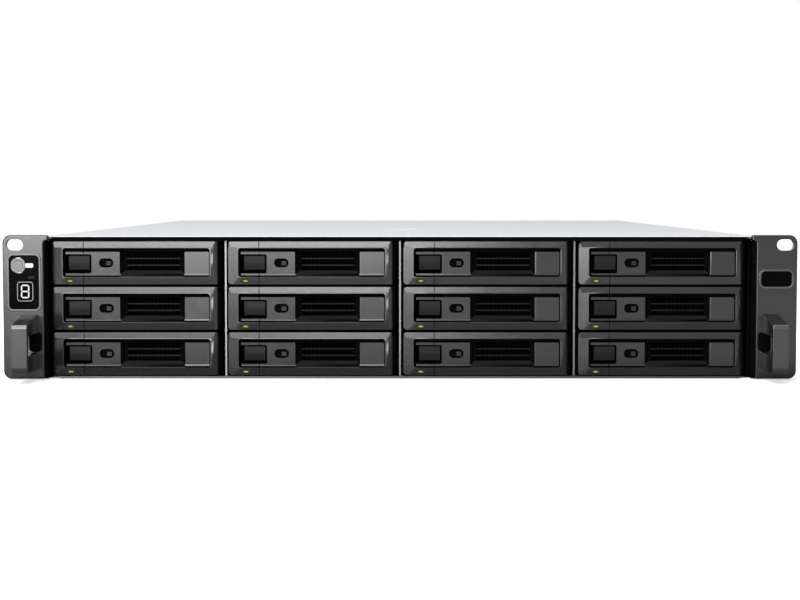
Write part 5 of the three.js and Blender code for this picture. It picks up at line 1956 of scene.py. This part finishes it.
@dataclass
class Case:
    """The lower case and the drive cage, with rivets, rail studs and the rear wall's fittings."""

    fasteners: Fasteners
    half: float = 215.25
    rear: float = 350.0

    def build(self) -> None:
        """Dresses the case's sheets and adds their fasteners."""
        finish_node("chassis_pan", PAN_STEEL)
        finish_node("drive_cage", CAGE_STEEL)
        rivet, screw = self.fasteners.rivet(), self.fasteners.screw()
        stud = Form.turned([(0, 2.6), (3.4, 2.6), (3.9, 2.2), (3.9, 1.4), (2.2, 1.3), (2.2, -0.4),
                            (0, -0.4)], 28)
        stud = stud.moved(turn=(90, 0, 0))
        for side, way, facing in (("left", -1, Facing.LEFT), ("right", 1, Facing.RIGHT)):
            rivets = [(way * self.half, y, z) for y in (-150, -70, 20, 120, 220, 320) for z in (12, 74)]
            self.fasteners.add(f"case_{side}_rivets", "root", rivets, facing, rivet, STEEL)
            studs = [(way * self.half, y, 44.0) for y in (-240, -90, 60, 210)]
            self.fasteners.add(f"case_{side}_rail_studs", "root", studs, facing, stud)
        back = [(x, self.rear + 0.2, 8.0) for x in (-206, -70, 20, 128)]
        self.fasteners.add("case_rear_screws", "root", back, Facing.BACK, screw)


# Inside


@dataclass
class FanBank:
    """The fan wall, its frames and their rotors."""

    patterns: Patterns
    centres: tuple[float, ...] = (-132.0, 0.0, 132.0)
    height: float = 42.3
    frame_depths: Span = (-116.0, -78.0)
    size: float = 80.0
    bore: float = 38.0
    hub: float = 17.0
    rotor: Span = (-112.0, -85.0)
    blades: int = 7

    def frame_form(self) -> Form:
        """One fan's frame with its flanges, bore, stator and struts, about x and z of 0.

        Returns:
            The frame.
        """
        half = self.size / 2
        near, far = self.frame_depths
        flanges = [Form.tile(span, (-half, half), (-half, half), 3)
                   for span in ((near, near + 4), (far - 4, far))]
        barrel = Form.rod(Axis.Y, (0, 0), half, (near + 3, far - 3), 64)
        bore = Form.rod(Axis.Y, (0, 0), self.bore, (near - 1, far + 1), 64)
        reach = (-half + 4.5, half - 4.5)
        corners = [Form.rod(Axis.Y, (x, z), 2.1, (near - 1, far + 1), 20) for x in reach for z in reach]
        strut = Form.block((self.hub - 1, self.bore + 1), (far - 3, far), (-2, 2))
        struts = [strut.moved(turn=(0, angle, 0)) for angle in (20, 110, 200, 290)]
        stator = Form.rod(Axis.Y, (0, 0), self.hub, (far - 3, far), 40)
        shaft = Form.rod(Axis.Y, (0, 0), 2.2, (far - 17, far - 0.5), 20)
        body = flanges[0].plus(flanges[1], barrel).minus(bore, *corners)
        return body.plus(*struts, stator, shaft).eased(0.35, 2)

    def wall(self) -> Form:
        """The steel sheet that carries the frames, and its foot.

        Returns:
            The wall.
        """
        near = self.frame_depths[0] - 1.2
        outline = [(near, 1.3), (-70, 1.3), (-70, 2.3), (near + 1.2, 2.3), (near + 1.2, 83.8), (near, 83.8)]
        sheet = Form.drawn(outline, Axis.X, (-205, 205))
        bores = [Form.rod(Axis.Y, (x, self.height), self.bore, (near - 1, near + 3), 64)
                 for x in self.centres]
        return sheet.minus(*bores).eased(0.2, 1)

    def rotor_form(self) -> Form:
        """A rotor's hub with its swept blades.

        Returns:
            The rotor.
        """
        near, far = self.rotor
        hub = Form.turned([(0, near), (self.hub - 2, near), (self.hub, near + 2), (self.hub, far), (0, far)])
        hub = hub.minus(Form.rod(Axis.Y, (0, 0), 2.6, (far - 13, far + 1), 20)).eased(0.4)
        shape = bmesh.new()
        rows = []
        for step in range(7):
            share = step / 6
            radius = self.hub - 1.5 + (self.bore - 1.4 - self.hub + 1.5) * share
            sweep = math.radians(26 * share)
            pitch = math.radians(46 - 16 * share)
            row = []
            for chord in (-1, -0.5, 0, 0.5, 1):
                along = 12.0 * chord
                turn = sweep + along * math.cos(pitch) / radius
                camber = 1.2 * (1 - chord * chord)
                depth = (near + far) / 2 + along * math.sin(pitch) * 0.9 - camber
                row.append(shape.verts.new((radius * math.sin(turn), depth, radius * math.cos(turn))))
            rows.append(row)
        for low, high in zip(rows, rows[1:]):
            for number in range(4):
                shape.faces.new((low[number], low[number + 1], high[number + 1], high[number]))
        sheet = Form._of(shape)
        blade = Form(evaluated(sheet.mesh, ("SOLIDIFY", {"thickness": 1.5, "offset": 0.0})))
        return hub.beside(self.patterns.wheel.run(BLACK_PLASTIC, None, blade, Count=self.blades))

    def build(self) -> None:
        """Builds the wall, the frames and the rotors."""
        self.wall().place("fan_wall_sheet", "root", STEEL, replaces=["fan_cage"])
        body, rotor = self.frame_form().smooth(), self.rotor_form().smooth()
        for number, x in enumerate(self.centres, 1):
            at = (x * MM, 0, self.height * MM)
            body.place(f"fan_frame_{number}", "root", BLACK_PLASTIC, at)
            rotor.place(f"fan_rotor_{number}_blades", f"fan_rotor_{number}", BLACK_PLASTIC, at,
                        replaces=[f"fan_rotor_{number}"])


@dataclass
class Boards:
    """The backplane and the expander board with what is soldered to them."""

    patterns: Patterns
    columns: tuple[float, ...] = (-160.35, -53.45, 53.45, 160.35)
    rows: tuple[float, ...] = (2.0, 29.75, 57.5)
    backplane: Span = (-150.4, -148.8)
    board: tuple[Span, Span, Span] = ((-196.0, -28.0), (198.5, 348.5), (9.0, 10.6))
    ports: tuple[float, ...] = (-150.0, -116.0)
    port_size: Point = (20.0, 12.5)
    sink: Pane = ((-134.0, -90.0), (238.5, 282.5))
    seed: int = 11

    def backplane_form(self) -> Form:
        """The board behind the drives with its vents.

        Returns:
            The board.
        """
        vents = [Form.tile((-160, -140), (x - 42, x + 42), (z + 11.5, z + 23.5), 2) for x in self.columns
                 for z in self.rows]
        return Form.block((-211.05, 211.05), self.backplane, (1.3, 85.5)).minus(*vents).eased(0.15, 1)

    def connector(self) -> Form:
        """A drive connector: a shell with an L-shaped mouth, about x and z of 0.

        Returns:
            The connector.
        """
        near, far = -158.4, self.backplane[0] + 0.1
        shell = Form.block((-21, 21), (near, far), (0, 6))
        mouth = Form.block((-18.5, 18.5), (near - 1, near + 6), (1.6, 4.4))
        tongue = Form.block((-17, 17), (near + 0.6, near + 7), (2.2, 3.4))
        return shell.minus(mouth).plus(tongue).eased(0.2, 1)

    def fixings(self, radius: float, heights: Span, sides: int) -> list[Form]:
        """A rod at each corner of the expander board."""
        x, y = (grown(span, -6) for span in self.board[:2])
        return [Form.rod(Axis.Z, (left, near), radius, heights, sides) for left in x for near in y]

    def board_form(self) -> Form:
        """The expander board with rounded corners and fixing holes.

        Returns:
            The board.
        """
        x, y, z = self.board
        holes = self.fixings(1.6, grown(z, 1), 20)
        return Form.drawn(rounded(x, y, 2.5), Axis.Z, z).minus(*holes).eased(0.1, 1)

    def chips(self) -> list[Form]:
        """Square chips and small capacitors on the board.

        Returns:
            The chips and the capacitors.
        """
        top = self.board[2][1]
        chip = Form.block((-5, 5), (-5, 5), (0, 1.6)).eased(0.2, 1)
        spots = ((-178, 225), (-178, 245), (-178, 300), (-60, 230), (-60, 262), (-45, 300), (-80, 318),
                 (-160, 210), (-70, 210))
        points = bpy.data.meshes.new("points")
        points.from_pydata([(*spot, top) for spot in spots], [], [])
        square = Euler((0, 0, 0))
        tin = Form.rod(Axis.Z, (0, 0), 3.1, (0, 8), 20).eased(0.4, 2)
        row = self.patterns.row.run(SCREW_METAL, None, tin, Count=8, First=(-76, 245, top), Step=(0, 8.5, 0))
        return [self.patterns.spots.run(BLACK_PLASTIC, points, chip, Facing=square, Seed=self.seed), row]

    def sink_form(self) -> Form:
        """The heat sink: a base with a row of fins.

        Returns:
            The heat sink.
        """
        x, y = self.sink
        top = self.board[2][1]
        base = Form.block(x, y, (top, top + 3)).eased(0.3, 1)
        fin = Form.block((0, 1.2), y, (top + 2.5, top + 16))
        fins = self.patterns.row.run(DRIVE_CAST, None, fin, Count=13, First=(x[0], 0, 0),
                                     Step=(42.8 / 12, 0, 0))
        return base.beside(fins)

    def port(self, left: float) -> list[Form]:
        """A cable port's folded shell and its tongue.

        Args:
            left: Its left side.

        Returns:
            The shell and the tongue.
        """
        wide, tall = self.port_size
        low = self.board[2][1] + 1.4
        sides, heights, middle = (left, left + wide), (low, low + tall), low + tall / 2
        shell = Form.tile((324, 350), grown(sides, 1.4), grown(heights, 1.4), 1.2)
        hollow = Form.tile((325.4, 351), sides, heights, 0.8)
        tongue = Form.block(grown(sides, -3), (326, 340), (middle - 0.7, middle + 0.7))
        return [shell.minus(hollow).eased(0.25), tongue.eased(0.2, 1)]

    def build(self) -> None:
        """Builds both boards and dresses them."""
        self.backplane_form().place("backplane_board", "root", BOARD_MASK, replaces=["backplane"])
        body = self.connector()
        step = (self.columns[1] - self.columns[0], 0, 0)
        rows = [self.patterns.row.run(BLACK_PLASTIC, None, body, Count=4, First=(self.columns[0], 0, z + 3),
                                      Step=step) for z in self.rows]
        rows[0].beside(*rows[1:]).place("backplane_connectors", "root", BLACK_PLASTIC)
        self.board_form().place("expander_board_sheet", "root", BOARD_MASK, replaces=["expander_board"])
        chips, tins = self.chips()
        chips.place("expander_board_chips", "root", BLACK_PLASTIC)
        tins.place("expander_board_capacitors", "root", SCREW_METAL, slot="supply_case")
        self.sink_form().place("expander_board_heat_sink", "root", DRIVE_CAST)
        posts = self.fixings(3.0, (1.0, self.board[2][0]), 6)
        posts[0].beside(*posts[1:]).place("expander_board_standoffs", "root", SCREW_METAL)
        for number, left in enumerate(self.ports, 1):
            shell, tongue = self.port(left)
            shell.place(f"expander_port_{number}_shell", "root", STEEL)
            tongue.place(f"expander_port_{number}_tongue", "root", BLACK_PLASTIC)


@dataclass
class Supplies:
    """The two power supplies with their inlets, fans, grips and catches."""

    patterns: Patterns
    width: float = 73.5
    height: float = 39.0
    length: float = 188.0
    fan: Point = (17.5, 19.5)
    fan_bore: float = 15.5
    inlet: Pane = ((47.2, 71.7), (11.25, 27.75))
    inlet_depth: float = 15.0
    grip: Span = (42.2, 46.8)
    grip_heights: Span = (3.5, 35.5)
    catch: Span = (35.0, 37.4)
    catch_heights: Span = (12.5, 26.5)
    catch_travel: float = 3.0
    lamp: Point = (37.8, 33.5)
    cell: float = 4.0

    def case(self) -> Form:
        """The sheet-metal body, about its lower left corner and its rear face at 0.

        Returns:
            The case.
        """
        body = Form.block((0, self.width), (-self.length, 0), (0, self.height)).eased(0.6, 2)
        bore = Form.rod(Axis.Y, self.fan, self.fan_bore, (-22, 1), 64)
        inlet = Form.tile((-self.inlet_depth, 1), *self.inlet, 1.5)
        room = Form.block((self.catch[0] - 0.3, self.catch[1] + self.catch_travel + 0.3), (-8.3, 1),
                          grown(self.catch_heights, 0.3))
        shaft = Form.rod(Axis.Y, self.fan, 1.4, (-22.3, -10), 16)
        heights = (self.height - 0.35, self.height + 1)
        seams = [Form.block((-1, self.width + 1), (y, y + 0.5), heights) for y in (-60, -150)]
        lamp = Form.rod(Axis.Y, self.lamp, 1.3, (-2, 1), 20)
        return body.minus(bore, inlet, room, lamp, *seams).plus(shaft).eased(0.15, 1, 50)

    def grip_form(self) -> Form:
        """The folded grip.

        Returns:
            The grip.
        """
        low, high = self.grip_heights
        outer = rounded((-6, 12), (low, high), 4, 6)
        inner = rounded((-9, 9), (low + 3, high - 3), 2.5, 6)
        bar = Form.drawn(outer, Axis.X, self.grip).minus(Form.drawn(inner, Axis.X, grown(self.grip, 1)))
        return bar.within(Form.block(grown(self.grip, 1), (0.02, 20), (0, 40))).eased(0.7, 3, 40)

    def catch_form(self) -> Form:
        """The catch: a thin tab with ridges on its reach.

        Returns:
            The catch.
        """
        low, high = self.catch_heights
        tab = Form.block(self.catch, (-8, 9), (low, high))
        ridge = Form.block((self.catch[0] - 0.2, self.catch[0] + 0.4), (2.2, 2.9), (low + 1, high - 1))
        return tab.eased(0.4, 2).beside(*(ridge.moved(y=step) for step in (0, 1.7, 3.4)))

    def inlet_form(self) -> Form:
        """The mains inlet's liner, a hollow with a floor.

        Returns:
            The liner.
        """
        sides, heights = (grown(span, -0.1) for span in self.inlet)
        liner = Form.tile((-self.inlet_depth + 0.1, -0.1), sides, heights, 1.4)
        hollow = Form.tile((-self.inlet_depth + 1.2, 1), grown(sides, -1.2), grown(heights, -1.2), 1.2)
        return liner.minus(hollow).eased(0.3, 2)

    def pins(self) -> Form:
        """The inlet's three flat pins.

        Returns:
            The pins.
        """
        middle, height = sum(self.inlet[0]) / 2, sum(self.inlet[1]) / 2
        depths = (-self.inlet_depth + 1, -2.5)
        pins = [Form.block((x - 1, x + 1), depths, (z - 2, z + 2)).eased(0.3, 2) for x,
                z in ((middle - 7, height - 1.5), (middle, height + 2.4), (middle + 7, height - 1.5))]
        return pins[0].beside(*pins[1:])

    def guard(self) -> Form:
        """The wire guard over the fan: rings on two crossed wires.

        Returns:
            The guard.
        """
        rings = self.patterns.rings.run(SCREW_METAL, Count=4, First=4.2, Step=3.6, Wire=0.55)
        wire = Form.rod(Axis.X, (0, 0), 0.55, (-16.6, 16.6), 8)
        crossed = rings.beside(wire.moved(y=0.6, turn=(0, 45, 0)), wire.moved(y=0.6, turn=(0, -45, 0)))
        return crossed.moved(self.fan[0], -0.8, self.fan[1])

    def blade_wheel(self) -> Form:
        """The small fan's rotor about its own axis.

        Returns:
            The rotor.
        """
        hub = Form.turned([(0, -16), (6, -16), (7, -15), (7, -3), (6, -2.4), (0, -2.4)], 36)
        hub = hub.minus(Form.rod(Axis.Y, (0, 0), 1.8, (-17, -9.6), 16))
        blade = Form.block((-0.55, 0.55), (-5, 5), (0, 8.0)).eased(0.3, 1).moved(z=6.2, turn=(0, 0, 36))
        return hub.beside(self.patterns.wheel.run(BLACK_PLASTIC, None, blade, Count=7))

    def vents(self) -> Form:
        """The perforated sheet on the front end, which lets the air out of the bay.

        Returns:
            The perforated sheet.
        """
        radius = self.cell / math.sqrt(3) * 1.02
        outer = arc((0, 0), radius, 30, 330, 5)
        inner = [(u * 0.8, v * 0.8) for u, v in outer]
        cell = Form.drawn(outer, Axis.Y, (-0.4, 0.4)).minus(Form.drawn(inner, Axis.Y, (-1, 1)))
        return self.patterns.honeycomb.run(SUPPLY_SHEET, None, cell, Columns=16, Rows=9, Pitch=self.cell)

    def build(self) -> None:
        """Builds the forms once and places them on both supplies."""
        case, grip, catch, inlet, pins, guard, wheel, vents = (form.smooth() for form in (
            self.case(), self.grip_form(), self.catch_form(), self.inlet_form(), self.pins(), self.guard(),
            self.blade_wheel(), self.vents()))
        lens = Form.rod(Axis.Y, self.lamp, 1.1, (-1.5, 0.25), 20).eased(0.4, 3).smooth()
        for number in (1, 2):
            body = f"power_supply_{number}"
            low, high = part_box(body)
            at = Vector((low.x, high.y - 12 * MM, low.z))
            case.place(f"{body}_case", body, SUPPLY_SHEET, at, replaces=[body])
            grip.place(f"{body}_grip", body, BLACK_PLASTIC, at)
            inlet.place(f"{body}_inlet", body, BLACK_PLASTIC, at)
            pins.place(f"{body}_pins", body, SCREW_METAL, at, slot="supply_case")
            guard.place(f"{body}_fan_guard", body, SCREW_METAL, at, slot="supply_case")
            lens.place(f"{body}_lamp", body, GREEN_LAMP, at)
            front = at + Vector((5.5 * MM, -(self.length + 0.45) * MM, 4.0 * MM))
            vents.place(f"{body}_vent_sheet", body, SUPPLY_SHEET, front)
            catch.place(f"{body}_catch_tab", f"{body}_catch", CATCH_PLASTIC, at, replaces=[f"{body}_catch"])
            hub = at + Vector((self.fan[0] * MM, 0, self.fan[1] * MM))
            wheel.place(f"{body}_rotor_blades", f"{body}_rotor", BLACK_PLASTIC, hub,
                        replaces=[f"{body}_rotor"])


# Studio


@dataclass
class Studio:
    """The camera, the lamps, the floor and the backdrop."""

    eye: Place = (0.0, -1.4018, 0.11167)
    pitch: float = 3.367
    lens: float = 79.64
    heading: float = -20.5
    key_strength: float = 7.5
    key_distance: float = 2.0
    key_size: Point = (1.556, 0.72)
    high_strength: float = 7.1
    high_distance: float = 2.2
    high_rise: float = 45.0
    high_size: Point = (1.6, 1.14)
    fill: float = 0.3
    mirrored: float = 0.5
    backdrop_place: float = 3.4
    backdrop_mirrored: float = 1.03
    footprint: Point = (0.242, 0.362)
    shadow_reach: float = 0.07
    mirror_reach: float = 0.09
    mirror_range: Span = (0.06, 0.56)
    floor_reach: float = 12.0
    backdrop_size: Point = (6.0, 5.0)

    def camera(self) -> None:
        """Sets the camera where the photograph was taken from."""
        data = bpy.data.cameras.new("camera")
        data.lens, data.sensor_width = self.lens, 36.0
        data.clip_start, data.clip_end = 0.05, 60.0
        camera = linked("camera", data)
        camera.location = self.eye
        camera.rotation_euler = (math.radians(90 - self.pitch), 0.0, 0.0)
        bpy.context.scene.camera = camera

    def lamp(self, name: str, place: Place, target: Place, size: Point, radiance: float) -> None:
        """Adds a soft rectangular lamp.

        Args:
            name: Its name.
            place: Where its middle is.
            target: What it faces.
            size: Its width and height.
            radiance: How bright it looks, where 1 is white.
        """
        data = bpy.data.lights.new(name, "AREA")
        data.shape = "RECTANGLE"
        data.size, data.size_y = size
        data.energy = radiance * math.pi * size[0] * size[1]
        lamp = linked(name, data)
        lamp.location = place
        lamp.rotation_euler = (Vector(target) - Vector(place)).to_track_quat("-Z", "Y").to_euler()

    def lamps(self) -> None:
        """A low soft box at the front left, a brighter one above it, and a weak overhead one."""
        way = Vector((math.sin(math.radians(self.heading)), -math.cos(math.radians(self.heading)), 0.0))
        front = Vector((0.0, -0.33, 0.0))
        height = Vector((0.0, 0.0, self.key_size[1] / 2 + 0.02))
        self.lamp("key", front + way * self.key_distance + height, front + height, self.key_size,
                  self.key_strength)
        rise = math.radians(self.high_rise)
        target = front + Vector((0.0, 0.0, 0.07))
        place = target + (way * math.cos(rise) + Vector((0.0, 0.0, math.sin(rise)))) * self.high_distance
        self.lamp("high", place, target, self.high_size, self.high_strength)
        self.lamp("overhead", (0.0, 0.2, 2.4), (0.0, 0.0, 0.0), (2.2, 2.2), 1.2)

    @staticmethod
    def rays(nodes: Nodes, seen: Any, mirrored: float, spread: float) -> Signal:
        """A strength for rays from the camera, for reflected rays and for all others.

        Args:
            nodes: The builder.
            seen: For the camera.
            mirrored: For reflections.
            spread: For all others.

        Returns:
            The strength.
        """
        path = nodes.node("ShaderNodeLightPath")
        direct = (nodes.out(path, "Is Camera Ray") + nodes.out(path, "Is Transmission Ray")).limited()
        glossy = nodes.out(path, "Is Glossy Ray") * (1.0 - direct)
        return direct * seen + glossy * mirrored + (1.0 - direct - glossy).limited() * spread

    def surroundings(self) -> None:
        """A pale world that looks white to the camera and in reflections."""
        world = bpy.data.worlds.new("studio")
        bpy.context.scene.world = world
        world.use_nodes = True
        nodes = Nodes(world.node_tree)
        world.node_tree.nodes.clear()
        strength = self.rays(nodes, 1.0, self.mirrored, self.fill)
        glow = nodes.node("ShaderNodeBackground", Color=(1.0, 1.0, 1.0, 1.0), Strength=strength)
        nodes.node("ShaderNodeOutputWorld", Surface=nodes.out(glow))

    def floor(self) -> None:
        """A pale floor that keeps the object's shadow and runs out into the white; its glow also fades near
        the object's footprint as a painted shadow, for the camera and in reflections.
        """
        shader = Shader("studio_floor")
        apart = shader.node("ShaderNodeSeparateXYZ", Vector=shader.places())
        beyond = [shader.maths("MAXIMUM", shader.maths("ABSOLUTE", shader.out(apart, number)) - half, 0.0)
                  for number, half in enumerate(self.footprint)]
        away = shader.maths("SQRT", beyond[0] * beyond[0] + beyond[1] * beyond[1])
        # Painted shadow: the glow that the camera sees fades near the footprint
        glow = 0.5 + (away / self.shadow_reach).limited() * 0.5
        lit = shader.node("ShaderNodeBsdfDiffuse", Color=(0.8, 0.8, 0.8, 1.0))
        dim = shader.node("ShaderNodeBsdfDiffuse", Color=(0.16, 0.16, 0.17, 1.0))
        path = shader.node("ShaderNodeLightPath")
        pale = shader.node("ShaderNodeMixShader", s0=shader.out(path, "Is Glossy Ray"), s1=shader.out(lit),
                           s2=shader.out(dim))
        least, more = self.mirror_range
        # Painted shadow in reflections: the reflected glow fades near the footprint
        clear = (away / self.mirror_reach).limited() * more + least
        strength = self.rays(shader, glow, clear, 0.0)
        white = shader.node("ShaderNodeEmission", Color=(1.0, 1.0, 1.0, 1.0), Strength=strength)
        both = shader.node("ShaderNodeAddShader", s0=shader.out(pale), s1=shader.out(white))
        shader.node("ShaderNodeOutputMaterial", Surface=shader.out(both))
        reach = self.floor_reach
        self.sheet("floor", [(-reach, -reach, 0), (reach, -reach, 0), (reach, reach, 0), (-reach, reach, 0)],
                   shader)

    def backdrop(self) -> None:
        """A white backdrop that the covers reflect."""
        shader = Shader("studio_backdrop")
        strength = self.rays(shader, 1.0, self.backdrop_mirrored, 0.3)
        glow = shader.node("ShaderNodeEmission", Color=(1.0, 1.0, 1.0, 1.0), Strength=strength)
        shader.node("ShaderNodeOutputMaterial", Surface=shader.out(glow))
        (half, high), y = self.backdrop_size, self.backdrop_place
        self.sheet("backdrop", [(-half, y, -0.1), (half, y, -0.1), (half, y, high), (-half, y, high)],
                   shader)

    def sheet(self, name: str, corners: Sequence[Place], shader: Shader) -> None:
        """Adds a four-cornered sheet to the stage.

        Args:
            name: Its name.
            corners: Its corners.
            shader: Its material's builder.
        """
        mesh = bpy.data.meshes.new(name)
        mesh.from_pydata(corners, [], [(0, 1, 2, 3)])
        mesh.materials.append(shader.material)
        sheet = linked(name, mesh)

    def build(self) -> None:
        """Builds the studio."""
        self.camera()
        self.lamps()
        self.surroundings()
        self.floor()
        self.backdrop()
        bpy.context.scene.view_settings.view_transform = "Standard"


def main() -> None:
    """Builds and dresses the whole enclosure."""
    logging.basicConfig(level=logging.INFO, format="%(name)s: %(message)s")
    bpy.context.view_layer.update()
    Studio().build()
    patterns = Patterns()
    fasteners = Fasteners(patterns)
    fronts, ears = TrayFronts(), Ears(fasteners)
    for part in (fronts, Carriers(fasteners, fronts), ears, DisplayPanel(ears), Covers(fasteners),
                 Case(fasteners), FanBank(patterns), Boards(patterns), Supplies(patterns)):
        LOG.info("building %s", type(part).__name__)
        part.build()


if __name__ == "__main__":
    main()
